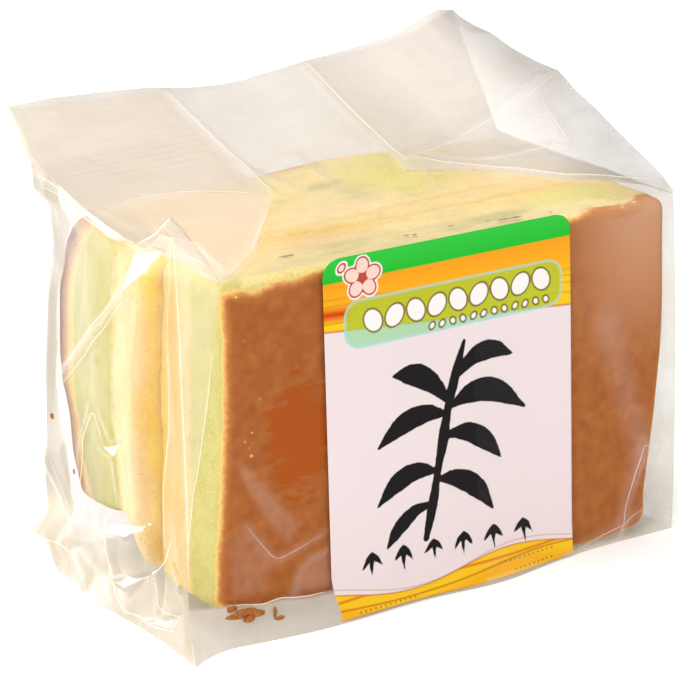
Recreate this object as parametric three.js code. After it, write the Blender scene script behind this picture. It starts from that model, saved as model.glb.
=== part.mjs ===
// A block of thick-cut castella in a clear gusseted film bag. The block stands
// on its long cut edge, the bag is sealed along its top, and a paper label
// lies on the front. Millimetres, +X right along the front, +Y back, +Z up.
//
// The bag is one closed solid out to its film, lofted from rings. Each ring
// runs along the front panel, round the right gusset, back along the rear
// panel and round the left gusset. The lower rings climb the walls of the
// block. The upper ones lean back with the tented top until both panels meet
// in the seal.

import * as THREE from "three";

// ---- driving dimensions

const block = { width: 130, depth: 74, height: 90.7 };

const bag = {
  clearLeft: 13, // loose film beside the cut left end
  clearRight: 1.3,
  clearBack: 3.2,
  frontEar: 17, // how far the loose left corners stand above the block
  backEar: 8,
  earFade: 16, // distance over which the front ear sinks along the left edge
  backEarHollow: 1.5, // exponent of the back ear's rise: above 1 it hangs hollow
  leftBulge: 1.8, // rounding of each wall, outwards
  rightBulge: 0.8,
  rearBulge: 2.5,
  hemThickness: 1.6, // all the film layers pressed together at the seal
};

const seal = {
  back: 95, // behind the front face
  left: -8,
  right: 128,
  leftHeight: 117,
  rightHeight: 123.4,
  dip: 7, // the hem sags between its ends
  wave: 2.5,
  panelSag: 1.4, // exponent of the front panel's rise: above 1 it hangs hollow
};

const gusset = {
  leftDepth: 9, // how far the air in the bag lets each end fold in
  rightDepth: 10,
  foldAt: 0.78, // place of the inner fold between the front and rear panels
  opensBy: 0.1, // share of the tent over which it folds in
  closesFrom: 0.9, // share at which the seal presses it shut
  closesBy: 0.96,
  layerGap: 2, // between the gusset and the front panel, once folded in
  layerGapFrom: 0.125, // share of the gusset over which that gap opens
  floorGap: 0.8, // clear of the block's top
};

const foot = {
  earReach: 7, // folded bottom corners that stick out at the left
  earLength: 14, // how far they run along the end
  earHeight: 12,
  backEarShare: 2, // the one at the back reaches out further
  leftSpread: 2.2, // the loose end spreads towards the ground
  cornerSpread: 1.5, // and its corners a little more
};

const label = {
  left: 27,
  width: 72,
  bottom: 0.8,
  top: 91.6,
  cornerRadius: 4,
  thickness: 0.4,
  gap: 0.3,
};

const segments = { panel: 22, gusset: 12, labelCorner: 6 };
const wallLevels = [0, 0.04, 0.09, 0.15, 0.3, 0.5, 0.7, 0.86, 0.96, 1];
const tentLevels = [
  0.025, 0.05, 0.075, 0.1, 0.16, 0.24, 0.33, 0.43, 0.53, 0.63, 0.73, 0.82, 0.9, 0.93, 0.96, 1,
];

const colour = { film: 0xeee3d2, label: 0xf3ecec };

// ---- small maths

const { clamp, lerp, smoothstep } = THREE.MathUtils;

// Plan position of the bag's wall: x for a share along the panel.
function wallX(along) {
  return lerp(-bag.clearLeft, block.width + bag.clearRight, along);
}

function hem(along) {
  const sag = seal.dip * Math.sin(Math.PI * along) ** 2;
  return new THREE.Vector3(
    lerp(seal.left, seal.right, along),
    seal.back + seal.wave * Math.sin(2 * Math.PI * along),
    lerp(seal.leftHeight, seal.rightHeight, along) - sag,
  );
}

// 1 at the loose left edge, 0 from the block's left end on.
function looseness(x) {
  return clamp(-x / bag.clearLeft, 0, 1);
}

// How far the film stands above the block's top along its shoulder.
function earRise(x, y) {
  const front = bag.frontEar * Math.exp(-Math.max(y, 0) / bag.earFade);
  const back = bag.backEar * clamp(y / block.depth, 0, 1) ** bag.backEarHollow;
  return looseness(x) * (front + back);
}

// ---- the bag's walls

// Both left bottom corners are folded film that reaches out over the ground.
function footShift(x, y, z) {
  const low = clamp(1 - z / foot.earHeight, 0, 1) ** 2;
  const atFront = clamp(1 - y / foot.earLength, 0, 1);
  const atBack = clamp(1 - (block.depth + bag.clearBack - y) / foot.earLength, 0, 1);
  const corner = looseness(x) ** 2 * low;
  return new THREE.Vector2(
    -foot.leftSpread * looseness(x) * low - foot.cornerSpread * corner * (atFront + atBack),
    foot.earReach * corner * (foot.backEarShare * atBack - atFront),
  );
}

function wallPoint(x, y, level) {
  const z = level * (block.height + earRise(x, y));
  const shift = footShift(x, y, z);
  return new THREE.Vector3(x + shift.x, y + shift.y, z);
}

// ---- the tented top

function frontPanel(along, rise) {
  const edge = hem(along);
  const x = lerp(wallX(along), edge.x, rise);
  const y = edge.y * rise;
  const slope = (edge.z - block.height) * rise ** seal.panelSag;
  const ear = looseness(x) * bag.frontEar * Math.exp(-y / bag.earFade);
  return new THREE.Vector3(x, y, block.height + slope + ear);
}

function rearPanel(along, rise) {
  const edge = hem(along);
  const wall = block.depth + bag.clearBack;
  const start = block.height + earRise(wallX(along), wall);
  return new THREE.Vector3(
    lerp(wallX(along), edge.x, rise),
    lerp(wall, edge.y + bag.hemThickness, rise),
    lerp(start, edge.z, rise),
  );
}

// Height of the front panel above a plan position.
function frontPanelHeight(x, y) {
  const along = clamp((x + bag.clearLeft) / (wallX(1) + bag.clearLeft), 0, 1);
  return frontPanel(along, clamp(y / hem(along).y, 0, 1)).z;
}

// The gusset folds in between the panels: its depth grows to the inner fold
// and back, and it stays under the front panel and above the block. Where the
// seal presses it shut it is only the round end of the hem.
function gussetPoint(side, share, rise) {
  const opening = smoothstep(rise, 0, gusset.opensBy);
  const open = opening * (1 - smoothstep(rise, gusset.closesFrom, gusset.closesBy));
  const toFold = share < gusset.foldAt ? share / gusset.foldAt : (1 - share) / (1 - gusset.foldAt);
  const inward = (open * toFold * side.depth) / (wallX(1) - wallX(0));
  const along = side.direction > 0 ? 1 - inward : inward;

  const point = new THREE.Vector3().lerpVectors(frontPanel(along, rise), rearPanel(along, rise), share);
  if (open > 0) {
    const gap = gusset.layerGap * (1 - rise) * Math.min(1, share / gusset.layerGapFrom);
    const ceiling = frontPanelHeight(point.x, point.y) - gap;
    point.z = Math.max(Math.min(point.z, ceiling), block.height + gusset.floorGap * opening);
  } else {
    point.x += side.direction * (bag.hemThickness / 2) * Math.sin(Math.PI * share);
  }
  return point;
}

// ---- rings and the loft

function wallRing(level) {
  const rear = block.depth + bag.clearBack;
  const swell = (share) => (1 - level) * Math.sin(Math.PI * share);
  const rearSwell = (along) => bag.rearBulge * Math.sin(Math.PI * along) * Math.sin(Math.PI * level);
  return ring(
    (along) => wallPoint(wallX(along), 0, level),
    (share) => wallPoint(wallX(1) + bag.rightBulge * swell(share), rear * share, level),
    (along) => wallPoint(wallX(along), rear + rearSwell(along), level),
    (share) => wallPoint(wallX(0) - bag.leftBulge * swell(share), rear * share, level),
  );
}

function tentRing(rise) {
  return ring(
    (along) => frontPanel(along, rise),
    (share) => gussetPoint({ direction: 1, depth: gusset.rightDepth }, share, rise),
    (along) => rearPanel(along, rise),
    (share) => gussetPoint({ direction: -1, depth: gusset.leftDepth }, share, rise),
  );
}

function ring(front, right, rear, left) {
  const points = [];
  for (let i = 0; i < segments.panel; i++) points.push(front(i / segments.panel));
  for (let i = 0; i < segments.gusset; i++) points.push(right(i / segments.gusset));
  for (let i = segments.panel; i > 0; i--) points.push(rear(i / segments.panel));
  for (let i = segments.gusset; i > 0; i--) points.push(left(i / segments.gusset));
  return points;
}

// Joins the rings with quads, closes the underside with a fan round its middle,
// and closes the hem with a strip between its front and its rear half.
function loft(rings) {
  const around = rings[0].length;
  const points = rings.flat();
  const index = [];
  const quad = (a, b, c, d) => index.push(a, b, c, a, c, d);

  for (let k = 0; k + 1 < rings.length; k++) {
    for (let i = 0; i < around; i++) {
      const next = (i + 1) % around;
      quad(k * around + i, k * around + next, (k + 1) * around + next, (k + 1) * around + i);
    }
  }

  const middle = points.push(new THREE.Vector3(block.width / 2, block.depth / 2, 0)) - 1;
  for (let i = 0; i < around; i++) index.push(middle, (i + 1) % around, i);

  const top = (rings.length - 1) * around;
  const opposite = (i) => (2 * segments.panel + segments.gusset - i + around) % around;
  for (let step = 0; step < around / 2; step++) {
    const near = (step + around - segments.gusset / 2) % around;
    const beyond = (near + 1) % around;
    const strip = [near, beyond, opposite(beyond), opposite(near)].map((i) => top + i);
    const corners = strip.filter((corner, i) => strip.indexOf(corner) === i);
    for (let i = 1; i + 1 < corners.length; i++) index.push(corners[0], corners[i], corners[i + 1]);
  }

  const geometry = new THREE.BufferGeometry();
  geometry.setFromPoints(points);
  geometry.setIndex(index);
  return geometry;
}

// ---- the two pieces

function makeBag() {
  const rings = [...wallLevels.map(wallRing), ...tentLevels.map(tentRing)];
  const material = new THREE.MeshStandardMaterial({ color: colour.film, roughness: 0.25, metalness: 0 });
  const mesh = new THREE.Mesh(loft(rings), material);
  mesh.name = "bag";
  return mesh;
}

// The label is a sheet with two round upper corners, flat against the front.
function makeLabel() {
  const { left, width, bottom, top, cornerRadius: radius } = label;
  const right = left + width;
  const outline = new THREE.Shape();
  outline.moveTo(left, bottom);
  outline.lineTo(right, bottom);
  outline.lineTo(right, top - radius);
  outline.absarc(right - radius, top - radius, radius, 0, Math.PI / 2);
  outline.absarc(left + radius, top - radius, radius, Math.PI / 2, Math.PI);
  outline.closePath();

  const sheet = new THREE.ExtrudeGeometry(outline, {
    depth: label.thickness,
    bevelEnabled: false,
    curveSegments: segments.labelCorner,
  });
  const material = new THREE.MeshStandardMaterial({ color: colour.label, roughness: 0.5, metalness: 0 });
  const mesh = new THREE.Mesh(sheet, material);
  mesh.name = "label";
  mesh.rotation.x = Math.PI / 2;
  mesh.position.y = -label.gap;
  return mesh;
}

// ---- assembly: the origin is the middle of the underside of the whole

const part = new THREE.Group();
part.name = "bagged_castella";
part.add(makeBag(), makeLabel());

const bounds = new THREE.Box3().setFromObject(part);
const middle = bounds.getCenter(new THREE.Vector3());
part.position.set(-middle.x, -middle.y, -bounds.min.z);

export default part;
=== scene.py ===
import itertools
import math

import bmesh
import bpy
import numpy as np
from mathutils import Matrix, Vector


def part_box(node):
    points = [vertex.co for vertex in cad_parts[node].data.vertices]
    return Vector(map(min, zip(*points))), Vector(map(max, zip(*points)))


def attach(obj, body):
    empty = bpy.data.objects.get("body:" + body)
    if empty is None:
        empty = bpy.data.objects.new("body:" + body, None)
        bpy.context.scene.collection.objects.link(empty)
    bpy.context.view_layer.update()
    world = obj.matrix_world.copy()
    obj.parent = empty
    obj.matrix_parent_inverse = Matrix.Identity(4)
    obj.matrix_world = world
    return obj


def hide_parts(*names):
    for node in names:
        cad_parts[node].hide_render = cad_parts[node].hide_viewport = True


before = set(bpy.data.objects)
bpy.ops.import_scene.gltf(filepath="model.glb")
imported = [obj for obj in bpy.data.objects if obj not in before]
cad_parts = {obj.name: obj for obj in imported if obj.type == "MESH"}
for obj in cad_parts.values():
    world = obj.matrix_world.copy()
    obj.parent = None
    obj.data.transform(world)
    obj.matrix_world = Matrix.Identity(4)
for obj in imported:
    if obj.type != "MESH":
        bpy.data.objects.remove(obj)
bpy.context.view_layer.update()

# Places are in millimetres from the block's left front bottom corner: x right, y back, z up.
# That corner is found from the bag's box, whose right side and front toe stand off by these.
bagLow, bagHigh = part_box("bag")
bagOverhang = dict(right=132.1, front=7.0)
cornerMm = np.array([bagHigh.x * 1000 - bagOverhang["right"], bagLow.y * 1000 + bagOverhang["front"], 0.0])


def toFrame(points):
    return (np.asarray(points, float) + cornerMm) / 1000


view = dict(
    eye=(-353.06, -643.30, 316.71),
    yaw=0.5388, pitch=0.3159, roll=-0.0284,
    focal=173.86, sensor=36.0, clip=(0.05, 20),
)


def addCamera():
    data = bpy.data.cameras.new("camera")
    data.lens = view["focal"]
    data.sensor_width = view["sensor"]
    data.clip_start, data.clip_end = view["clip"]
    camera = bpy.data.objects.new("camera", data)
    bpy.context.scene.collection.objects.link(camera)
    yaw, pitch, roll = view["yaw"], view["pitch"], view["roll"]
    ahead = np.array([math.sin(yaw) * math.cos(pitch), math.cos(yaw) * math.cos(pitch), -math.sin(pitch)])
    right = np.array([math.cos(yaw), -math.sin(yaw), 0.0])
    up = np.cross(right, ahead)
    rolledRight = math.cos(roll) * right + math.sin(roll) * up
    rolledUp = -math.sin(roll) * right + math.cos(roll) * up
    turn = Matrix(np.stack([rolledRight, rolledUp, -ahead], 1).tolist()).to_4x4()
    camera.matrix_world = Matrix.Translation(Vector(toFrame(view["eye"]))) @ turn
    bpy.context.scene.camera = camera


studio = dict(
    worldColour=(1.0, 0.985, 0.965), worldStrength=0.3,
    floorColour=(0.95, 0.95, 0.95), floorRoughness=0.7, floorGlow=0.26, floorSize=6.0,
    aim=(0, 0, 0.05),                           # what every lamp points at, in metres
    # name, place and sides in metres, watts, colour
    lamps=[
        ("keyLeft", (-0.85, -0.75, 0.95), (0.8, 0.8), 7.7, (1, 0.985, 0.96)),
        ("overhead", (-0.2, 0.2, 1.5), (1.3, 1.0), 15.5, (1, 1, 1)),
        ("fillRight", (0.95, -1.0, 0.55), (0.5, 0.6), 2.4, (1, 1, 1)),
        ("rimBack", (-0.75, 1.05, 0.22), (0.5, 0.32), 9.0, (1, 1, 1)),
    ],
)


def areaLight(name, place, size, watts, tint):
    data = bpy.data.lights.new(name, "AREA")
    data.shape = "RECTANGLE"
    data.size, data.size_y = size
    data.energy = watts
    data.color = tint
    lamp = bpy.data.objects.new(name, data)
    bpy.context.scene.collection.objects.link(lamp)
    lamp.location = place
    lamp.rotation_euler = (Vector(studio["aim"]) - Vector(place)).to_track_quat("-Z", "Y").to_euler()


def addStudio():
    scene = bpy.context.scene
    scene.view_settings.view_transform = "Standard"
    scene.view_settings.look = "None"
    world = bpy.data.worlds.new("studio")
    world.use_nodes = True
    background = world.node_tree.nodes["Background"]
    background.inputs["Color"].default_value = (*studio["worldColour"], 1)
    background.inputs["Strength"].default_value = studio["worldStrength"]
    scene.world = world

    size = studio["floorSize"]
    corners = [(-size, -size, 0), (size, -size, 0), (size, size, 0), (-size, size, 0)]
    floor = bpy.data.objects.new("floor", bpy.data.meshes.new("floor"))
    floor.data.from_pydata(corners, [], [(0, 1, 2, 3)])
    scene.collection.objects.link(floor)
    paint = bpy.data.materials.new("floorPaint")
    paint.use_nodes = True
    shader = paint.node_tree.nodes["Principled BSDF"]
    shader.inputs["Base Color"].default_value = (*studio["floorColour"], 1)
    shader.inputs["Roughness"].default_value = studio["floorRoughness"]
    shader.inputs["Emission Color"].default_value = (1, 1, 1, 1)
    shader.inputs["Emission Strength"].default_value = studio["floorGlow"]
    floor.data.materials.append(paint)
    for lamp in studio["lamps"]:
        areaLight(*lamp)


def unit(value):
    # held between 0 and 1
    return np.clip(value, 0, 1)


def smooth(value, low, high):
    # 0 up to low and 1 from high on, with a smooth step between them
    share = unit((value - low) / (high - low))
    return share * share * (3 - 2 * share)


def mix(a, b, share):
    # a straight step from a to b
    return a + (b - a) * share


def hill(value, middle, reach):
    # a bell curve of height 1
    return np.exp(-((value - middle) / reach) ** 2)


def xyz(places):
    return places[..., 0], places[..., 1], places[..., 2]


def atStops(stops, value):
    # the value between (place, value) stops, in straight steps
    return np.interp(value, [s[0] for s in stops], [s[1] for s in stops])


def noise(points, cell, seed):
    # value noise: random numbers on a cubic lattice of the given cell, blended with smooth steps
    grid = np.asarray(points, float) / cell
    base = np.floor(grid)
    part = grid - base
    part = part * part * (3 - 2 * part)
    total = np.zeros(grid.shape[:-1])
    for corner in itertools.product((0, 1), repeat=3):
        key = base + corner
        weight = np.prod(np.where(corner, part, 1 - part), axis=-1)
        total += weight * scrambled(key @ np.array([127.1, 311.7, 74.7]) + seed * 19.19)
    return total * 2 - 1


def scrambled(key):
    # a share from 0 to 1 that looks random but is the same each time
    value = np.sin(key) * 43758.5453
    return value - np.floor(value)


def layeredNoise(points, cell, seed, layers=3):
    # each layer is half as coarse and half as strong as the one before
    return sum(noise(points, cell / 2**k, seed + k) / 2**k for k in range(layers)) / 1.6


def gridFaces(rows, columns, start=0, around=False):
    # quads of a grid whose vertices are stored row by row; around joins the last column to the first
    row = np.arange(rows - 1)[:, None]
    column = np.arange(columns if around else columns - 1)[None, :]
    beyond = (column + 1) % columns
    corners = [row * columns + column, row * columns + beyond,
               (row + 1) * columns + beyond, (row + 1) * columns + column]
    return np.stack([c.ravel() for c in corners], 1) + start


def makePiece(name, points, faces, material, replaced, values, merge=None):
    # merge joins vertices closer than this many millimetres, at seams and poles
    mesh = bpy.data.meshes.new(name)
    points, faces = toFrame(points.reshape(-1, 3)), np.asarray(faces)
    mesh.vertices.add(len(points))
    mesh.vertices.foreach_set("co", points.astype(np.float32).ravel())
    mesh.loops.add(faces.size)
    mesh.loops.foreach_set("vertex_index", faces.astype(np.int32).ravel())
    mesh.polygons.add(len(faces))
    mesh.polygons.foreach_set("loop_start", np.arange(0, faces.size, faces.shape[1], dtype=np.int32))
    mesh.polygons.foreach_set("use_smooth", np.ones(len(faces), bool))
    for key, value in values.items():
        attribute = mesh.attributes.new(key, "FLOAT", "POINT")
        attribute.data.foreach_set("value", np.asarray(value, np.float32).ravel())
    mesh.update(calc_edges=True)
    mesh.validate()
    if merge:
        soup = bmesh.new()
        soup.from_mesh(mesh)
        bmesh.ops.remove_doubles(soup, verts=soup.verts, dist=merge / 1000)
        bmesh.ops.dissolve_degenerate(soup, edges=soup.edges, dist=1e-7)
        soup.to_mesh(mesh)
        soup.free()
    mesh.materials.append(material)
    piece = bpy.data.objects.new(name, mesh)
    bpy.context.scene.collection.objects.link(piece)
    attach(piece, "root")
    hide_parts(replaced)
    return piece


def colour(red, green, blue):
    # an 8-bit screen colour as the linear colour a shader takes
    share = np.array([red, green, blue]) / 255
    linear = np.where(share > 0.04045, ((share + 0.055) / 1.055) ** 2.4, share / 12.92)
    return (*[float(v) for v in linear], 1.0)


class Wire:
    # one output of a shader node: plain arithmetic on it adds math nodes

    def __init__(self, nodes, socket):
        self.nodes, self.socket = nodes, socket

    def __add__(self, other):
        return self.nodes.math("ADD", self, other)

    def __sub__(self, other):
        return self.nodes.math("SUBTRACT", self, other)

    def __rsub__(self, other):
        return self.nodes.math("SUBTRACT", other, self)

    def __mul__(self, other):
        return self.nodes.math("MULTIPLY", self, other)

    def __truediv__(self, other):
        return self.nodes.math("DIVIDE", self, other)


class Nodes:
    # a short way to add shader nodes and join them

    def __init__(self, name):
        self.material = bpy.data.materials.new(name)
        self.material.use_nodes = True
        self.tree = self.material.node_tree
        self.tree.nodes.clear()
        self.output = self.tree.nodes.new("ShaderNodeOutputMaterial")

    def add(self, kind, settings=None, output=0, **inputs):
        # inputs go by name, with _ for each space, or by number as i0, i1 and so on
        node = self.tree.nodes.new("ShaderNode" + kind)
        for key, value in (settings or {}).items():
            setattr(node, key, value)
        for key, value in inputs.items():
            byNumber = key[0] == "i" and key[1:].isdigit()
            socket = node.inputs[int(key[1:]) if byNumber else key.replace("_", " ")]
            if isinstance(value, Wire):
                self.tree.links.new(value.socket, socket)
            else:
                socket.default_value = value
        return Wire(self, node.outputs[output])

    def math(self, operation, a, b=0.0, clamp=False):
        return self.add("Math", dict(operation=operation, use_clamp=clamp), i0=a, i1=b)

    def range(self, value, low, high, outLow=0.0, outHigh=1.0, kind="SMOOTHSTEP"):
        return self.add("MapRange", dict(interpolation_type=kind), Value=value, From_Min=low, From_Max=high,
                        To_Min=outLow, To_Max=outHigh)

    def line(self, value, low, high, outLow=0.0, outHigh=1.0):
        return self.range(value, low, high, outLow, outHigh, "LINEAR")

    def blend(self, share, a, b, kind="MIX"):
        return self.add("Mix", dict(data_type="RGBA", blend_type=kind), 2, i0=share, i6=a, i7=b)

    def ramp(self, value, stops):
        colours = self.add("ValToRGB", Fac=value)
        elements = colours.socket.node.color_ramp.elements
        while len(elements) < len(stops):
            elements.new(0.5)
        for element, (place, paint) in zip(elements, stops):
            element.position, element.color = place, paint
        return colours

    def noise(self, vector, scale, detail=3.0, roughness=0.55):
        return self.add("TexNoise", Vector=vector, Scale=scale, Detail=detail, Roughness=roughness)

    def sway(self, vector, scale, detail, reach):
        # noise that wanders half the reach to each side of 0
        return (self.noise(vector, scale, detail) - 0.5) * reach

    def bump(self, height, strength, distance):
        return self.add("Bump", Height=height, Strength=strength, Distance=distance)

    def stretched(self, vector, scale):
        return self.add("VectorMath", dict(operation="MULTIPLY"), i0=vector, i1=scale)

    def attribute(self, name):
        return self.add("Attribute", dict(attribute_name=name), "Fac")

    def millimetres(self):
        # object coordinates in the block's millimetres
        place = self.add("TexCoord", output="Object")
        return self.add("VectorMath", dict(operation="MULTIPLY_ADD"), i0=place, i1=(1000, 1000, 1000),
                        i2=tuple(-cornerMm))

    def axes(self, vector):
        node = self.add("SeparateXYZ", Vector=vector).socket.node
        return [Wire(self, output) for output in node.outputs]

    def finish(self, shader):
        self.tree.links.new(shader.socket, self.output.inputs["Surface"])
        return self.material

    def solid(self, body, bump, roughness, gloss):
        return self.finish(self.add("BsdfPrincipled", Base_Color=body, Normal=bump, Roughness=roughness,
                                    Specular_IOR_Level=gloss))


block = dict(
    width=130.0, top=90.4, front=0.7, rear=77.4,
    seam=28.4, seamGap=0.2,                     # where the two slices meet
    crustFront=3.4, greenFront=15.8, greenRear=46.0, crustRear=74.4,   # depths where the layers meet
    cornerRadius=3.2, crustRound=2.6, cutRound=1.5, rearRound=1.6,
    step=1.0, cornerSteps=7, faceRings=44,
    crown=(3.0, 76.0, 34.0),                    # the rear slice's top swells up: height, middle, reach
    ground=0.9, raisedTo=66.0,                  # the raised left end comes down to the ground by here
    rightLift=4.5, rightLiftFrom=108.0,
    rightTaper=5.8, taperTo=60.0,               # the right end draws in towards its foot
    rearPull=(4.4, 1.4),                        # the rear face leans in at its foot and at its top edge
    # the left ends of both slices as (height, x), at the near and the far side of each
    frontNear=[(0, -4.6), (12, -4.4), (22, -2.8), (34, -1.5), (47, -0.8), (60, -0.1), (74, 0.7), (92, 0.2)],
    frontFar=[(0, -4.6), (17, -4.6), (35, -4.0), (55, -2.9), (81, -1.6), (92, -1.3)],
    rearNear=[(0, -9.8), (12, -10.8), (26, -11.6), (36, -11.6), (44, -10.8), (56, -9.9), (69, -8.7),
              (81, -6.8), (86, -4.9), (90, -2.2), (92, -1.2)],
    rearFar=[(0, -3.0), (27, -4.2), (38, -6.0), (47, -6.2), (57, -5.5), (68, -5.0), (75, -4.4), (84, -2.4),
             (92, 0.6)],
    # height of the raised left end's underside, by depth
    footAtLeft=[(0, 8.6), (8, 7.6), (20, 7.0), (28, 8.5), (30, 13.0), (36, 17.0), (41, 19.6), (46, 19.2),
                (55, 17.0), (70, 15.0), (78, 14.6)],
)


def bottomHeight(x, y):
    # the left end rests on bunched film, and the foot sinks to the ground towards the right
    ground = block["ground"]
    raised = np.clip(1 - x / block["raisedTo"], 0, 1.08) ** 1.3
    atRight = unit((x - block["rightLiftFrom"]) / (block["width"] - block["rightLiftFrom"]))
    return ground + (atStops(block["footAtLeft"], y) - ground) * raised + block["rightLift"] * atRight**2


def leftSide(y, z):
    # the rear slice swells out below its top edge, so its cut face shows beside the front slice
    seam = block["seam"]
    front = mix(atStops(block["frontNear"], z), atStops(block["frontFar"], z), unit(y / seam))
    share = unit((y - seam) / (block["rear"] - seam))
    rear = mix(atStops(block["rearNear"], z), atStops(block["rearFar"], z), share**0.8)
    return np.where(y < seam, front, rear) + 0.2 * np.sin(z / 7 + y / 9)


def rightSide(y, z):
    # most at the front's foot, half as much from 40 mm back
    low = unit((block["taperTo"] - z) / 50)
    return block["width"] - block["rightTaper"] * low**1.5 * (1 - 0.5 * smooth(y, 0, 40))


def blockPoint(a, c, y):
    # a and c run from -1 to 1 across and up the block's section, y is the depth
    top = block["top"]
    guess = top * (c + 1) / 2
    x = mix(leftSide(y, guess), rightSide(y, guess), (a + 1) / 2)
    height, middle, reach = block["crown"]
    crown = height * hill(x, middle, reach) * smooth(y, 40, 74)
    z = mix(bottomHeight(x, y), top + crown + 0.35 * np.sin(x / 19) * np.sin(y / 13), (c + 1) / 2)
    atFoot, atTop = block["rearPull"]
    pull = atFoot * smooth(30 - z, 0, 24) + atTop * smooth(z, 82, 92)
    return np.stack([x, y - smooth(y, 50, 77) * pull, z], -1)


def sectionLoop(step):
    # a rectangle with round corners, walked anticlockwise and scaled to -1..1 both ways,
    # and its outward directions
    halfWidth, halfHeight = block["width"] / 2, block["top"] / 2
    radius = block["cornerRadius"]
    flatX, flatZ = halfWidth - radius, halfHeight - radius
    parts, directions = [], []
    for k, (cx, cz) in enumerate([(flatX, -flatZ), (flatX, flatZ), (-flatX, flatZ), (-flatX, -flatZ)]):
        angle = np.linspace(-np.pi / 2, 0, block["cornerSteps"]) + k * np.pi / 2
        turn = np.stack([np.cos(angle), np.sin(angle)], 1)
        arc = (cx, cz) + radius * turn
        length = 2 * (flatZ if k % 2 == 0 else flatX)
        count = int(length / step)
        share = (np.arange(1, count) / count)[:, None]
        ahead = np.array([[0, 1], [-1, 0], [0, -1], [1, 0]][k])
        parts += [arc, arc[-1] + share * length * ahead]
        directions += [turn, np.repeat(turn[-1:], count - 1, 0)]
    return np.concatenate(parts) / (halfWidth, halfHeight), np.concatenate(directions)


def sliceProfile(start, end, nearRound, farRound):
    # (inset, depth) pairs: in from the middle of one face, round its edge, along the side,
    # and back to the middle of the other face. A face that is hidden in the block has no rounding.
    halfHeight, step = block["top"] / 2, block["step"]

    def face(at, sign, radius):
        rings = block["faceRings"] if radius else 6
        arc = np.linspace(0, np.pi / 2, 8 if radius else 2)
        edge = np.stack([radius * (1 - np.sin(arc)), radius * (1 - np.cos(arc))], 1)[0 if radius else 1:]
        inward = radius + (halfHeight - radius) * np.linspace(1, 0, rings)[:-1]
        pairs = np.concatenate([np.stack([inward, np.zeros(rings - 1)], 1), edge])
        return np.stack([pairs[:, 0], at + sign * pairs[:, 1]], 1)

    near, far = face(start, 1, nearRound), face(end, -1, farRound)[::-1]
    between = np.linspace(near[-1, 1], far[0, 1], int((far[0, 1] - near[-1, 1]) / step) + 2)[1:-1]
    return np.concatenate([near, np.stack([np.zeros(len(between)), between], 1), far])


# how thick the browned skin is, in millimetres, and where it dips, as (more, place, reach) along the top edge
skinShape = dict(
    nearTop=1.2, dips=[(2.6, 9, 5), (1.2, 20, 4), (-2.0, 108, 5)], rightRise=(3.8, 119, 126),
    rear=8.0, rearHigh=1.8, rearTop=0.6, rearTopDip=(1.8, 64, 9),
    waver=(0.45, 3.2),
)


def skinDepth(points, depth, inset, upward, crustAt):
    # how far a place lies under the browned surface: negative on the crust's face
    s = skinShape
    x, _, z = xyz(points)
    onTop = smooth(upward, 0.93, 0.99) * np.ones_like(depth)
    more, place, reach = s["rearTopDip"]
    overTop = s["rearTop"] + more * hill(x, place, reach)
    rim = mix(s["rear"] + s["rearHigh"] * smooth(z, 60, 88), overTop, onTop * smooth(x, -2, 6))
    skin = np.minimum(depth - block["front"] - (inset if crustAt == "front" else 0),
                      block["rear"] - depth - rim - (inset if crustAt == "rear" else 0))
    rise, low, high = s["rightRise"]
    dip = sum(more * hill(x, place, reach) for more, place, reach in s["dips"]) - rise * smooth(x, low, high)
    skin = skin + onTop * (s["nearTop"] + dip) * smooth(12 - depth, 0, 6)
    height, cell = s["waver"]
    return skin + height * layeredNoise(points, cell, 11)


# height and cell of each unevenness: open crumb, its broad lumps, the smooth skin and the torn seam
texture = dict(
    crumb=(0.20, 2.2), lumps=(0.26, 7.5), leather=(0.07, 4.0), torn=(1.0, 8.0), fade=2.5, tornReach=6.0,
)


def slicePart(name, start, end, nearRound, farRound, crustAt, material):
    # the profile carried round the section, then pushed out by the unevenness of crumb and skin
    loop, outward = sectionLoop(block["step"])
    profile = sliceProfile(start, end, nearRound, farRound)
    inset, depth = profile[:, :1], profile[:, 1:]
    a = loop[None, :, 0] * (1 - inset / (block["width"] / 2))
    c = loop[None, :, 1] * (1 - inset / (block["top"] / 2))
    depth = np.broadcast_to(depth, a.shape)
    points = blockPoint(a, c, depth)
    skin = skinDepth(points, depth, inset, loop[None, :, 1], crustAt)

    def uneven(key, seed, layers, places=points):
        height, cell = texture[key]
        return height * (layeredNoise(places, cell, seed, layers) if layers else noise(places, cell, seed))

    # the sides move across the section, and the faces in depth: cut ones where they meet in a torn line
    push = mix(uneven("leather", 47, 2), uneven("crumb", 41, 3) + uneven("lumps", 43, 0), smooth(skin, -1, 2))
    fade = texture["fade"]
    sideways = push * unit(1 - inset / fade)
    points[..., 0] += sideways * outward[None, :, 0]
    points[..., 2] += sideways * outward[None, :, 1]
    torn = uneven("torn", 5, 4, points * (1, 0, 1))
    points[..., 1] += torn * unit(1 - np.abs(depth - block["seam"]) / texture["tornReach"])
    if crustAt == "front":
        points[..., 1] -= push * unit(1 - (depth - block["front"]) / fade) * unit(inset / fade)

    faces = gridFaces(len(profile), len(loop), around=True)[:, ::-1]
    piece = makePiece(name, points, faces, material, "bag", dict(skin=skin), merge=0.02)
    piece.data.set_sharp_from_angle(angle=math.radians(50))


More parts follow.
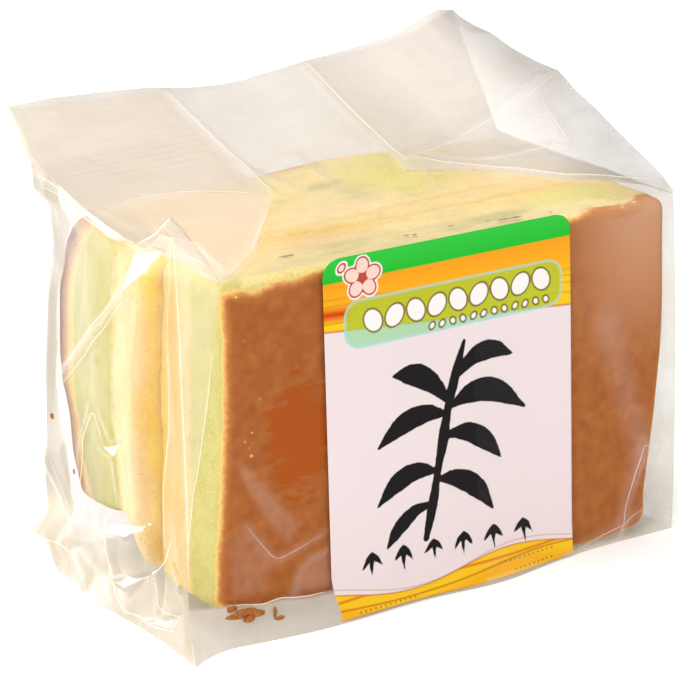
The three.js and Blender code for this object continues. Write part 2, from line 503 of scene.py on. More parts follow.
spongePaint = dict(
    green=colour(212, 205, 136), greenEnd=colour(202, 194, 126), greenDeep=colour(186, 188, 104),
    # yellow is the egg sponge's colour; where the slices meet it stands deeper, as painted shade of the gap
    # between them
    yellow=colour(250, 210, 34), yellowSoft=colour(250, 210, 122), pale=colour(250, 219, 166),
    cream=colour(246, 222, 178), topCream=colour(253, 232, 166), topGreen=colour(232, 228, 118),
    # the first pore colour darkens the crumb's holes: painted shade
    swirl=colour(248, 208, 112), poreShade=colour(206, 194, 144), poreLight=colour(244, 241, 222),
    white=colour(255, 255, 255),
    crust=colour(175, 101, 46), crustDark=colour(157, 86, 39), crustLight=colour(189, 117, 58),
    crustEdge=colour(228, 162, 92), rim=colour(248, 212, 128), wetCrust=colour(177, 80, 0),
    speck=colour(104, 46, 12), burnt=colour(150, 92, 44), rearCrust=colour(232, 184, 104),
    # of these, the pale crust is painted glare of the film on the front crust's right part
    scorched=colour(198, 118, 28), glareCrust=colour(202, 133, 72), rearBurnt=colour(134, 64, 8),
)

sponge = dict(
    # colour of the crumb by depth; around the seam the egg sponge's yellow is deepened by painted shade of
    # the gap between the slices
    layers=[(0, "green"), (14.4, "green"), (17.2, "pale"), (24, "yellowSoft"), (27.6, "yellow"),
            (30.4, "yellow"), (32.4, "yellowSoft"), (35.2, "pale"), (40, "cream"), (45.2, "cream"),
            (48.8, "greenEnd"), (64, "greenEnd"), (76.8, "greenDeep")],
    layersTo=80.0,
    # green patches on the cut top: middle and half size
    patches=[((111, 18), (15, 8)), ((84, 58), (17, 19))],
    topFrom=(87.6, 90.0), swirlPace=0.62, swirlMiddle=31.0,
    # browned skin by its depth under the surface, from -6 to 6
    edge=[(0.20, "crust"), (0.42, "crustLight"), (0.50, "crustEdge"), (0.58, "rim"), (0.80, "rim")],
    edgeReach=6.0, edgeFrom=(-3.0, -1.2), edgeTo=(0.6, 2.2), scorchedFrom=(-2.6, -1.2), scorchedTo=(4.6, 2.4),
    frontOnly=(12, 8), rearOnly=(60, 66), belowTop=(90.5, 88.0),
    # where the front's crust is lightened by painted glare of the film, where it is damp and where it is
    # scorched
    glareX=(92, 122), glareZ=(42, 84), wetMiddle=(19.8, 48.5), wetHalf=(8.6, 14.0), scorchedX=(102, 112),
    scorchedZ=(84, 88),
)


def crumbColour(n, place, x, y, z):
    # the colour follows the depth, and the cut top is creamier than the ends: green shows only in
    # patches, crossed by fine golden swirls
    paint = spongePaint
    wander = n.sway(place, 0.09, 3, 5.0)
    torn = n.sway(place, 0.9, 3, 2.4)
    swollen = n.math("MAXIMUM", -2.0 - x, 0.0) * 0.75
    depth = (y + swollen) + (wander + torn)
    far = sponge["layersTo"]
    layers = n.ramp(depth / far, [(at / far, paint[key]) for at, key in sponge["layers"]])
    onTop = n.range(z, *sponge["topFrom"])
    patch = n.noise(n.stretched(place, (0.5, 1.0, 1.0)), 0.075, 2) + n.range(x, 9, 3, 0, 0.2)
    layers = n.blend(onTop * n.range(patch, 0.66, 0.50) * 0.8, layers, paint["topCream"])
    drift = n.noise(n.stretched(place, (0.4, 1.0, 1.0)), 0.045, 1) * 15.0
    bands = n.range(n.math("SINE", (y + drift) * sponge["swirlPace"]), 0.3, 1.0)
    nearSeam = n.range(n.math("ABSOLUTE", y - sponge["swirlMiddle"]), 6, 14, 0.45, 0.1)
    layers = n.blend(bands * nearSeam * onTop, layers, paint["swirl"])
    for middle, half in sponge["patches"]:
        offX, offY = (x - middle[0]) / half[0], (y + wander - middle[1]) / half[1]
        reach = offX * offX + offY * offY
        layers = n.blend(n.range(reach, 1.2, 0.2, 0.0, 0.85) * onTop, layers, paint["topGreen"])
    # the crumb's holes painted darker: painted shade in the pores, with a random tone
    pores = n.noise(place, 1.5, 5, 0.7) * 0.7 + n.noise(place, 0.16, 3) * 0.3
    shade = n.ramp(pores, [(0.32, paint["poreShade"]), (0.46, paint["poreLight"]), (0.60, paint["white"])])
    return n.blend(0.75, layers, shade, "MULTIPLY")


def castella(name):
    # sponge under a browned skin, whose colour follows the attribute "skin"
    paint = spongePaint
    s = sponge
    n = Nodes(name)
    place = n.millimetres()
    x, y, z = n.axes(place)

    crust = n.ramp(n.noise(place, 0.30, 5, 0.7),
                   [(0.28, paint["crustDark"]), (0.5, paint["crust"]), (0.74, paint["crustLight"])])
    grain = n.noise(place, 3.2, 2, 0.6)
    crust = n.blend(n.range(grain, 0.58, 0.76, 0.0, 0.35), crust, paint["speck"])
    # the right part of the front crust lightened: painted glare of the film over it
    crust = n.blend(n.range(x, *s["glareX"]) * n.range(z, *s["glareZ"]), crust, paint["glareCrust"])
    # a damp, glossy patch near the label's left edge, broken into level streaks
    offX = (x - s["wetMiddle"][0]) / s["wetHalf"][0]
    offZ = (z - s["wetMiddle"][1]) / s["wetHalf"][1]
    streaks = n.noise(n.stretched(place, (0.45, 1.0, 1.6)), 0.34, 5, 0.65)
    reach = offX * offX + offZ * offZ + (0.5 - streaks) * 5.5
    wet = n.range(reach, 0.9, 1.1, 1.0, 0.0) * n.range(grain, 0.35, 0.6, 0.8, 1.0)
    wet = wet * n.range(y, *s["frontOnly"])
    crust = n.blend(wet * 0.95, crust, paint["wetCrust"])
    # the far crust is tan beside the sponge and burnt at its outer edge
    atRear = n.range(y, *s["rearOnly"]) * n.range(z, *s["belowTop"])
    skin = n.attribute("skin") + n.sway(place, 0.8, 4, 2.2)
    besideRear = atRear * n.range(skin, -13, -8)
    crust = n.blend(besideRear * 0.8, crust, paint["rearCrust"])
    flecks = n.range(n.noise(place, 1.6, 3, 0.7), 0.46, 0.56, 0.0, 0.7)
    burnt = n.math("MAXIMUM", flecks, n.range(skin, -2.5, -6.5))
    crust = n.blend(besideRear * burnt, crust, paint["rearBurnt"])

    reach = s["edgeReach"]
    share = n.math("DIVIDE", skin + reach, 2 * reach, clamp=True)
    edge = n.ramp(share, [(at, paint[key]) for at, key in s["edge"]])
    edge = n.blend(atRear * 0.8, edge, paint["rim"])
    scorched = n.range(x, *s["scorchedX"]) * n.range(z, *s["scorchedZ"])
    edge = n.blend(scorched * n.range(n.noise(place, 0.5, 4), 0.36, 0.52), edge, paint["scorched"])
    flecks = n.range(n.noise(place, 1.9, 3, 0.7), 0.5, 0.6, 0.0, 0.4)
    edge = n.blend(atRear * flecks, edge, paint["burnt"])
    body = n.blend(n.range(skin, *s["edgeFrom"]), crust, edge)
    body = n.blend(n.range(skin, *s["edgeTo"]), body, crumbColour(n, place, x, y, z))
    # the near top edge is scorched towards its right end
    band = n.range(skin, *s["scorchedFrom"]) * n.range(skin, *s["scorchedTo"]) * n.range(y, *s["frontOnly"])
    band = band * n.range(n.noise(place, 0.45, 4), 0.30, 0.46)
    body = n.blend(band * (scorched * 0.95), body, paint["scorched"])

    bump = n.bump(n.noise(place, 1.9, 6, 0.75) + n.noise(place, 0.5, 2) * 0.6, 0.45, 0.0006)
    dull = n.range(skin, -1.0, 2.0, 0.6, 0.95) - wet * 0.25
    return n.solid(body, bump, dull, 0.08)


def addBlock():
    # both slices as layers from front to rear, which share one outer surface
    green, egg, brown = castella("greenSponge"), castella("eggSponge"), castella("brownCrust")
    b = block
    seam, gap, cut = b["seam"], b["seamGap"], b["cutRound"]
    slicePart("crustFront", b["front"], b["crustFront"], b["crustRound"], 0, "front", brown)
    slicePart("greenSpongeFront", b["crustFront"], b["greenFront"], 0, 0, None, green)
    slicePart("eggSpongeFront", b["greenFront"], seam - gap, 0, cut, None, egg)
    slicePart("eggSpongeRear", seam + gap, b["greenRear"], cut * 1.5, 0, None, egg)
    slicePart("greenSpongeRear", b["greenRear"], b["crustRear"], 0, 0, None, green)
    slicePart("crustRear", b["crustRear"], b["rear"], 0, b["rearRound"], "rear", brown)
    print("block: two slices of sponge, each with its crust")


crumbs = dict(
    rows=13, columns=20, uneven=0.5,
    # place and half sizes of each: pale crumbs that stick to the crust
    pale=[((3.4, -0.3, 87.6), (0.4, 0.2, 0.3)), ((5.2, -0.3, 76.4), (0.15, 0.1, 0.2)),
          ((8.8, -0.3, 61.2), (0.2, 0.15, 0.2)), ((6.4, -0.3, 53.1), (0.3, 0.15, 0.2)),
          ((4.4, -0.3, 51.2), (0.2, 0.15, 0.3)), ((6.1, -0.3, 47.3), (0.4, 0.2, 0.3)),
          ((5.4, -0.3, 49.4), (0.15, 0.1, 0.15)), ((13.5, -0.3, 73.5), (0.15, 0.1, 0.12))],
    # torn bits of crust in the loose film at the foot, and two crumbs in the film at the left end
    brown=[((1.6, -1.4, 7.9), (4.6, 0.4, 1.2)), ((5.2, -1.7, 7.2), (2.4, 0.4, 0.8)),
           ((-1.6, -0.9, 9.6), (1.6, 0.3, 0.8)), ((2.8, -2.0, 6.4), (1.6, 0.4, 0.8)),
           ((10.0, -2.0, 6.2), (0.5, 0.3, 1.7)), ((11.4, -2.3, 4.8), (1.3, 0.3, 0.5)),
           ((-9.4, 76.2, 38.6), (0.4, 0.9, 0.8)), ((-9.0, 66.0, 26.5), (0.3, 0.5, 0.7))],
    # thin flakes along the block's front top edge
    flakes=[((24.8, 12.0, 91.0), (2.2, 0.3, 0.12)), ((57.4, 9.6, 91.0), (0.9, 0.3, 0.10)),
            ((59.2, 9.0, 91.0), (0.7, 0.45, 0.12)), ((70.6, 9.9, 91.0), (0.7, 0.25, 0.10)),
            ((80.2, 8.2, 91.0), (0.9, 0.2, 0.10)), ((84.4, 7.0, 91.0), (2.2, 0.35, 0.13)),
            ((87.6, 6.8, 91.0), (1.8, 0.45, 0.13)), ((97.6, 5.6, 90.9), (0.5, 0.2, 0.10))],
)


def lump(place, size, seed):
    # a ball whose radius follows noise, its poles closed by a ring of no width
    turn = np.linspace(0, 2 * np.pi, crumbs["columns"], endpoint=False)[None, :]
    tilt = np.linspace(-np.pi / 2, np.pi / 2, crumbs["rows"])[:, None]
    level = np.sin(tilt) * np.ones_like(turn)
    ball = np.stack([np.cos(tilt) * np.cos(turn), np.cos(tilt) * np.sin(turn), level], -1)
    ball = ball * (1 + crumbs["uneven"] * layeredNoise(ball + seed * 3.7, 0.8, seed, 2))[..., None]
    return (np.array(place) + ball * np.array(size)).reshape(-1, 3)


def crumbMaterial(name, dark, light):
    n = Nodes(name)
    place = n.millimetres()
    tint = n.ramp(n.noise(place, 1.3, 4), [(0.35, spongePaint[dark]), (0.65, spongePaint[light])])
    bump = n.bump(n.noise(place, 3.0, 4), 0.5, 0.0003)
    return n.solid(tint, bump, n.range(n.noise(place, 2.0, 2), 0.3, 0.7, 0.8, 0.95), 0.15)


def scatter(name, lumps, material):
    # all the lumps of one kind, joined in one piece
    rows, columns = crumbs["rows"], crumbs["columns"]
    points = np.concatenate([lump(place, size, k) for k, (place, size) in enumerate(lumps)])
    quads = gridFaces(rows, columns, around=True)
    faces = np.concatenate([quads + k * rows * columns for k in range(len(lumps))])
    makePiece(name, points, faces, material, "bag", {}, merge=0.002)


def addCrumbs():
    bits = crumbs["brown"] + crumbs["flakes"]
    scatter("paleCrumbs", crumbs["pale"], crumbMaterial("paleCrumb", "crustEdge", "rim"))
    scatter("crustBits", bits, crumbMaterial("crustBit", "burnt", "crustLight"))
    print("crumbs:", len(crumbs["pale"]), "pale and", len(bits), "brown")


bag = dict(
    clearLeft=12.6, clearRight=1.5, wallRear=79.6, rightSwell=1.0,
    shoulder=91.6, sealBack=94.6, sealLeft=-8.0, sealRight=127.4, sealWave=2.2, sealGap=0.4, sag=1.4,
    # height of the seal, by share of the way from its left to its right end
    sealHeight=[(0, 116.2), (0.08, 116.5), (0.15, 116.0), (0.23, 115.4), (0.31, 114.7), (0.385, 113.2),
                (0.46, 112.7), (0.5, 113.0), (0.58, 114.7), (0.65, 116.1), (0.73, 117.1), (0.81, 118.3),
                (0.85, 118.9), (0.885, 120.3), (0.92, 122.3), (0.96, 123.6), (1.0, 122.8)],
    step=0.7, coarseStep=1.5, wallLength=95, tentLength=100,
    # height of the loose left edge of the tent, by depth: an ear at the front, then a long low edge
    leftEdge=[(0, 110.4), (3, 108.2), (8, 104.2), (13, 101.0), (19, 98.8), (32, 99.9), (45, 101.6),
              (63, 103.8), (74, 105.2), (79.6, 107.5), (82.5, 111.0), (94.6, 116.8)],
    leftTop=104.6,                              # the left wall ends no higher than this at its rear corner
    # height of the puffed right edge of the tent over its plain slope, by depth
    rightPuff=[(0, 0.6), (4, 3.0), (9, 4.7), (15, 5.9), (22, 7.3), (31, 9.0), (40, 9.8), (47.5, 11.2),
               (58, 8.2), (67.5, 6.0), (77, 4.6), (85, 1.9), (92, 0.2)],
    puffTo=131.0, puffReach=38.0, edgeReach=30.0,
    lowest=0.25,                                # no film lies lower than this
)

foot = dict(
    height=12, frontToe=14, rearToe=12,         # how far up and along the end the folded toes run
    spread=1.8, bulge=(2.2, 43, 16),            # and how far the end spreads, most at its middle
    toeLeft=1.0, toeFront=6.6, toeRear=3.0,
    rearLift=6.5, rearLiftAt=(66, 74), rearLiftTo=14,
    # how far the front's foot stands forward of the block, as (far, place, reach)
    swells=[(5.3, 24, 32), (4.8, 74, 19)], swellHeight=11,
)

gusset = dict(
    joinsAt=0.45,                               # share of the tent's side at the inner fold's foot
    rows=84, columns=52, flatRows=70,
    gaps=(1.5, 1.0, 1.6),                       # how far each of the three sheets stays below the tent
    left=dict(
        foot=(37.5, 40.0, 96.8), seal=37.4,
        flatVeil="lens", veil="leftGusset", flatTone="lens", tone="gusset",
        front=[(0.2, (-1.0, 0.8, 97.2)), (0.3, (4.5, 3.0, 92.9)), (0.52, (16.5, 12.8, 94.6)),
               (0.72, (24.8, 23.8, 95.8))],
        rear=[(0.24, (-0.8, 72.5, 92.8)), (0.42, (9.0, 73.5, 93.4)), (0.6, (19.0, 70.8, 94.2)),
              (0.8, (28.0, 60.8, 95.4))],
    ),
    right=dict(
        foot=(77.0, 40.0, 97.6), seal=78.5, rear=[],
        flatVeil="rightFlat", veil="rightGusset", flatTone="rightGusset", tone="rightGusset",
        front=[(0.25, (119.4, 7.3, 95.2)), (0.45, (109.2, 15.0, 95.4)), (0.65, (101.7, 24.8, 96.1)),
               (0.84, (92.9, 33.0, 96.9))],
    ),
)


def wallX(across):
    # place across the bag, from its left end at 0 to its right end at 1
    return mix(-bag["clearLeft"], block["width"] + bag["clearRight"], across)


def looseness(x):
    # 1 at the loose left edge, 0 from the block's left end on
    return unit(-x / bag["clearLeft"])


def hem(across):
    # the seal sags between its ends and waves a little front to back
    x = mix(bag["sealLeft"], bag["sealRight"], across)
    y = bag["sealBack"] + bag["sealWave"] * np.sin(2 * np.pi * across)
    return x, y, atStops(bag["sealHeight"], across)


def leftEdgeX(y):
    # the loose left edge draws in towards its rear corner and on to the seal
    return -bag["clearLeft"] + 3.0 * smooth(y, 40, bag["wallRear"]) + 1.6 * smooth(y, 80, bag["sealBack"])


def footShift(x, y, z):
    # the loose left end spreads at the ground, both of its corners reach out as folded toes,
    # and its rear part is lifted
    loose = looseness(x)
    low = unit(1 - z / foot["height"]) ** 2
    atFront = unit(1 - y / foot["frontToe"])
    atBack = unit(1 - (bag["wallRear"] - y) / foot["rearToe"])
    toe = loose**2 * low
    far, place, reach = foot["bulge"]
    left = (foot["spread"] + far * hill(y, place, reach)) * loose * low + foot["toeLeft"] * toe * atFront
    lift = foot["rearLift"] * loose * smooth(y, *foot["rearLiftAt"]) * unit(1 - z / foot["rearLiftTo"])
    return -left, toe * (foot["toeRear"] * atBack - foot["toeFront"] * atFront), lift


def frontSwell(x, z):
    # the film's lower front edge stands a little forward of the block
    across = sum(far * hill(x, place, reach) for far, place, reach in foot["swells"])
    return -across * unit(1 - z / foot["swellHeight"]) ** 1.5


def drawnIn(z):
    # how far the loose film at the rear corner is drawn in towards the block, by height
    high = 5.5 * smooth(z, 60, 90) - 4.5 * smooth(z, 93, 100)
    return 2.0 + high + 1.5 * smooth(z, 20, 44) * smooth(92 - z, 0, 14) + 1.3 * hill(z, 63, 9)


def wall(x, y, level):
    # level runs 0 to 1 from the ground to the shoulder, which rises towards the loose left edge
    edge = np.minimum(atStops(bag["leftEdge"], y), bag["leftTop"])
    z = level * (bag["shoulder"] + looseness(x) * (edge - bag["shoulder"]))
    shiftX, shiftY, lift = footShift(x, y, z)
    atRight = unit((x - block["width"]) / bag["clearRight"])
    bulge = bag["rightSwell"] * np.sin(np.pi * unit(level)) ** 0.7 * atRight
    draw = looseness(x) * smooth(y, 40, bag["wallRear"]) * drawnIn(z) * unit(z / foot["rearLiftTo"])
    return np.stack([x + shiftX + bulge + draw, y + shiftY, np.maximum(z + lift, bag["lowest"])], -1)


def plainSlope(across, rise):
    # height between shoulder and seal, as a sagging power of the way up
    return bag["shoulder"] + (hem(across)[2] - bag["shoulder"]) * unit(rise) ** bag["sag"]


def frontTent(across, rise):
    # a plain slope up to the seal, moved to the heights of the loose left and the puffed right edge
    y = hem(across)[1] * rise
    x = mix(leftEdgeX(y), mix(wallX(1.0), bag["sealRight"], rise), across)
    atLeft = atStops(bag["leftEdge"], y) - plainSlope(np.zeros_like(y), rise)
    near, wide = looseness(x), smooth(bag["edgeReach"] - x, 0, bag["edgeReach"] + bag["clearLeft"])
    puff = atStops(bag["rightPuff"], y) * smooth(x, bag["puffTo"] - bag["puffReach"], bag["puffTo"])
    height = plainSlope(across, rise) + np.where(atLeft > 0, near, wide) * atLeft + puff
    return np.stack([x, y, height], -1)


def rearTent(across, rise):
    # straight from the rear wall's top edge to just behind the seal
    x, y, z = hem(across)
    start = wall(wallX(across), np.full_like(across, bag["wallRear"]), np.ones_like(across))
    return mix(start, np.stack([x, y + bag["sealGap"], z], -1), rise[..., None])


def tentHeight(x, y):
    # height of the tent over a place, found from its shares of the way across and back
    left = leftEdgeX(y)
    across = unit((x - left) / (wallX(1.0) - left))
    return frontTent(across, unit(y / hem(across)[1]))[..., 2]


def frontSheet(across, up):
    # up runs 0 to 1 on the wall and 1 to 2 on the tent
    low = wall(wallX(across), np.zeros_like(across), unit(up))
    low[..., 1] += frontSwell(low[..., 0], low[..., 2])
    return np.where((up <= 1)[..., None], low, frontTent(across, unit(up - 1)))


def rearSheet(across, up):
    # as the front: the wall, and the tent's rear slope over it
    low = wall(wallX(across), np.full_like(across, bag["wallRear"]), unit(up))
    return np.where((up <= 1)[..., None], low, rearTent(across, unit(up - 1)))


def leftSheet(share, up):
    # the wall at the left end, carried from front to rear
    return wall(np.full_like(share, wallX(0.0)), bag["wallRear"] * share, up)


def rightSheet(share, up):
    # the wall at the right end, likewise
    return wall(np.full_like(share, wallX(1.0)), bag["wallRear"] * share, up)


def floorSheet(across, share):
    # the wall's lowest line, carried from front to rear
    place = wall(wallX(across), bag["wallRear"] * share, np.zeros_like(across))
    place[..., 1] += frontSwell(place[..., 0], 0 * across) * (1 - share)
    return place


def onSheet(base, lift, first, second, outward):
    # the sheet moved along its normal by the lift at each place
    e = 1e-3
    place = base(first, second)
    across = base(first + e, second) - base(first - e, second)
    upward = base(first, second + e) - base(first, second - e)
    normal = np.cross(across, upward)
    normal = outward * normal / np.maximum(np.linalg.norm(normal, axis=-1, keepdims=True), 1e-12)
    return place + normal * lift(first, second, place)[..., None]


def lineShare(first, second, start, end):
    # share along the line, from 0 to 1, of its nearest place, and the distance to it
    line = end[:2] - start[:2]
    share = unit(((first - start[0]) * line[0] + (second - start[1]) * line[1]) / max(line @ line, 1e-9))
    return share, np.hypot(first - start[0] - share * line[0], second - start[1] - share * line[1])


def away(first, second, path):
    # distance of each place from a bent line
    path = np.array(path, float)
    return np.minimum.reduce([lineShare(first, second, *ends)[1] for ends in zip(path[:-1], path[1:])])


def ridge(first, second, path, height, width):
    # a sharp roof along a bent line: the height falls off in a straight slope to each side
    return height * unit(1 - away(first, second, path) / width)


def facets(first, second, cell, seed):
    # flat triangles of a skewed lattice, each corner at a random height, joined along sharp folds
    place = np.stack([first, second, 0 * first], -1)
    x, y = [at / cell + 0.35 * noise(place, cell * 1.3, seed + k) for at, k in ((first, 1), (second, 2))]
    skew = (x + y) * 0.366
    u, v = x + skew, y + skew
    i, j = np.floor(u), np.floor(v)
    fu, fv = u - i, v - j

    def height(di, dj):
        return scrambled((i + di) * 127.1 + (j + dj) * 311.7 + seed * 7.13) * 2 - 1

    lower = height(0, 0) * (1 - fu) + height(1, 0) * (fu - fv) + height(1, 1) * fv
    upper = height(0, 0) * (1 - fv) + height(0, 1) * (fv - fu) + height(1, 1) * fu
    return np.where(fu > fv, lower, upper)


def within(first, second, corners):
    # distance of each place inside the sides of a convex outline
    corners = np.array(corners, float)
    middle = corners.mean(0)
    inside = np.full(first.shape, np.inf)
    for start, end in zip(corners, np.roll(corners, -1, 0)):
        line = end - start
        cross = (line[0] * (second - start[1]) - line[1] * (first - start[0])) / np.hypot(*line)
        sign = np.sign(line[0] * (middle[1] - start[1]) - line[1] * (middle[0] - start[0]))
        inside = np.minimum(inside, sign * cross)
    return inside


folds = dict(
    # the pleat of loose film along the left end's front corner: depth of its edge, by height
    pleat=[(0, 13), (21, 10.7), (42.7, 7.7), (63.8, 4.8), (76.5, 3.7), (89, 2.6), (101.5, 1.5)],
    # on the left end, as (depth, height): a flattened fold across the slices, then of each other fold
    # its line, height and width
    leftBand=[(67.7, 52.1), (35.3, 75), (23.8, 86.2)],
    leftLines=[
        ([(65, 51), (51.3, 59.8), (41.8, 63.7)], 0.5, 2.4),
        ([(47.1, 49.2), (55.7, 36.1), (57.2, 22.1)], 0.6, 2.6),
        ([(39.4, 50.6), (34.2, 45.1), (33, 30)], 0.5, 2.4),
        ([(37.6, 21.1), (39.8, 15.3), (38, 7.5), (27.8, 2.6)], 1.1, 3.6),
        ([(14.7, 14.6), (14.5, 7)], 0.8, 3),
        ([(78, 5), (57.8, 6.1), (50.9, 3.2)], 0.9, 3.6),
        ([(62, 14), (78, 26)], 0.9, 4),
        ([(52, 20), (66, 8)], 0.9, 4),
    ],
    # depth at which the block's rear edge shows through, by height
    beyondRear=[(24, 63), (33.6, 64.1), (40.4, 71), (49.4, 72.6), (59, 72.2), (72.8, 73.2), (85.1, 69.1),
                (93, 60.5)],
    # flat facets that lean back as they rise: outline, slope, offset of the middle
    ledges=[
        ([(42.7, 41), (31, 46.4), (33.3, 40.2)], 0.48, 0.8),
        ([(39.5, 18.9), (34.8, 23.6), (17.6, 28.6), (28.5, 20.6)], 0.52, 1),
        ([(36.9, 7.4), (16.6, 16.6), (28.5, 6.8)], 0.48, 1),
        ([(20.5, 1.6), (3.5, 9.6), (8.5, 3.6)], 0.36, 0.8),
        ([(4.2, 22.4), (0.6, 19.2), (2.2, 15.6)], 0.50, 0.8),
        ([(24.6, 98.4), (8, 99.6), (23.4, 84.6)], 0.44, -1.4),
    ],
    # on the front: place across of the loose film's edge, by height, and height of the tucked-up foot,
    # by place across
    looseEdge=[(24.2, -12.8), (41.3, -10.6), (61.9, -5.9), (76.1, -3.3), (98, 0.5)],
    tuck=[(-13, 11.6), (-3, 10.6), (7.6, 8.4), (11.3, 9.3), (18.3, 8.1), (25.5, 7.8), (45, 5.6), (66, 1.5),
          (132, 0)],
    # as (across, height): line, height, width, how hazy
    frontLines=[
        ([(3.7, 30), (7.9, 24.1), (11.6, 19.1), (18.5, 20.9), (25.4, 23.2)], 0.5, 2, 0.10),
        ([(16.1, 9.9), (18.3, 14.9), (21.2, 17.6), (25.2, 18.3)], 0.5, 1.8, 0.10),
        ([(110.2, 61.7), (121.3, 24.2)], 0.9, 6, 0.10),
        ([(126, 21.8), (121.3, 27), (117.1, 14.1), (113.3, 1.1)], 1, 3, 0.16),
        ([(96.8, 0.1), (111.7, 4.5), (124, 9)], 0.8, 3, 0.12),
    ],
    # flattened folds on the front, as outlines in (across, height), and how hazy they are
    wedges=[
        ([(2, 46.4), (5.8, 43.4), (18.4, 26.6), (15.6, 23.2), (8, 33)], 0.11),
        ([(16, 9.6), (18.3, 15.2), (21.2, 17.8), (25.6, 18.6), (27, 9)], 0.12),
        ([(-1, 27), (4.5, 29), (10.5, 20), (8, 12), (0, 12)], 0.07),
    ],
    # depth of the arc, by place across, where the tent lies on the folded-in end
    arc=[(-8, 44.1), (-2, 46.5), (3.9, 48.3), (10.4, 48.5), (18.1, 47.6), (27.7, 44.3), (36.2, 39.9),
         (44, 49)],
    # on the tent, as (across, depth): line, height, width
    tentLines=[
        ([(37.4, 94), (37.5, 40)], 0.6, 2.5),
        ([(78.5, 94), (77, 40)], 0.6, 2.5),
        ([(131, 47.5), (119.2, 44.4), (101.6, 46), (84.8, 42.8), (77.7, 41.5)], 0.8, 5),
        ([(79.2, 41), (92.9, 33), (101.7, 24.8), (109.2, 15), (119.4, 7.3), (131, 2)], 0.6, 2.5),
        ([(119.9, 42.9), (118.3, 33.4), (116.7, 24), (109.4, 28.5), (87.5, 39.8)], 0.5, 3),
        ([(35.9, 56.9), (44.1, 41.8)], 0.5, 3.2),
        ([(53.7, 56), (54.8, 38.2), (52, 33)], 0.6, 3.6),
        ([(79.8, 36.1), (78.7, 30.8), (76.9, 25.7)], 0.4, 2),
    ],
)


def borders(first, second, low, high, reach=0.05):
    # 1 inside a sheet, falling to 0 along its borders, so that neighbouring sheets stay joined
    across = unit(np.minimum(first, 1 - first) / reach)
    return across * unit(np.minimum(second - low, high - second) / reach)


def frontLift(across, up, place):
    # loose film at the left, wrinkles at both bottom corners, and broad facets and a fine ripple on the tent
    x, y, z = xyz(place)
    fold = [(far, height) for height, far in folds["looseEdge"][:-1]]
    wallLift = smooth(-x, -1, 5) * (0.3 + 0.7 * facets(x, z, 13, 9)) + ridge(x, z, fold, 0.8, 2.4)
    for path, height, width, veil in folds["frontLines"]:
        wallLift = wallLift + ridge(x, z, path, height, width)
    atRight = smooth(x, 100, 110) * smooth(34 - z, 0, 14)
    atLeft = smooth(30 - x, 0, 6) * smooth(26 - z, 0, 12)
    wallLift = wallLift + np.maximum(atRight, atLeft) * (0.35 + 0.5 * facets(x, z, 9, 14))
    rippled = smooth(y, 54, 62) * smooth(84 - y, 0, 8) * smooth(44 - x, 0, 10)
    tentLift = 0.5 * facets(x, y, 30, 2) + 0.045 * np.sin(y * 2.3 + 2 * np.sin(x / 9)) * rippled
    for path, height, width in folds["tentLines"]:
        tentLift = tentLift + ridge(x, y, path, height, width)
    tentLift = tentLift * smooth(y, 0, 14)
    return mix(wallLift, tentLift, smooth(up, 1.0, 1.06)) * borders(across, up, 0.0, 2.0, 0.02)


def leftLift(share, up, place):
    # a pleat at the front corner, bent folds, crumpled facets that calm down over the sponge, and ledges
    _, y, z = xyz(place)
    pleat = smooth(atStops(folds["pleat"], z) - y, -0.4, 0.4)
    lift = 0.3 + 0.6 * pleat + ridge(y, z, folds["leftBand"], 1.2, 3.0)
    for path, height, width in folds["leftLines"]:
        lift = lift + ridge(y, z, path, height, width)
    overBulge = smooth(y, 22, 26) * smooth(48 - y, 0, 8) * smooth(z, 8, 16) * smooth(80 - z, 0, 12)
    crumple = (0.9 * facets(y, z, 17, 3) + 0.4 * smooth(34 - z, 0, 14) * facets(y, z, 9, 8)) * smooth(z, 1, 9)
    lift = lift + mix(crumple, 0.3 + 0.5 * crumple, overBulge)
    for corners, slope, offset in folds["ledges"]:
        middle = np.mean([c[1] for c in corners])
        lift = mix(lift, offset - slope * (z - middle), unit(within(y, z, corners) / 0.7 + 0.5))
    return lift * borders(share, up, 0.0, 1.0, 0.02)


def plainLift(cell, height, seed):
    # facets alone, all of one size, over the height and whichever way the sheet runs
    def lift(first, second, place):
        x, y, z = xyz(place)
        across = y if np.ptp(y) > np.ptp(x) else x
        return height * (facets(across, z, cell, seed) - 0.6) * borders(first, second, 0.0, 2.0)
    return lift


# how much of the haze shows at a place, from 0 for clear film to 1
veils = dict(
    front=0.0, looseFront=0.22, aboveBlock=0.20, low=0.70, glare=0.20,
    tentFront=0.26, tent=0.50, overSeam=0.32, hem=0.58, ear=0.12, tentLine=0.12,
    left=0.07, overRear=0.05, beyondRear=0.66, pleat=0.20, band=0.34,
    leftLow=0.5, leftTop=0.25, leftLine=0.14,
    lens=0.66, leftGusset=0.46, rightFlat=0.62, rightGusset=0.42, rear=0.34, rearTent=0.50,
    rearHem=0.1, right=0.45, ledge=0.10, besideSeam=0.08, foot=0.6,
)

# how light the haze is at a place: 1 where lamps shine on the sheet, 0 where it stands in its own shade
tones = dict(
    front=1.0, tent=0.45, rightTent=0.80, low=0.50, toe=0.5, left=0.62, beyondRear=0.0, rear=0.2, lens=1.0,
    gusset=0.6, rightGusset=0.5,
)


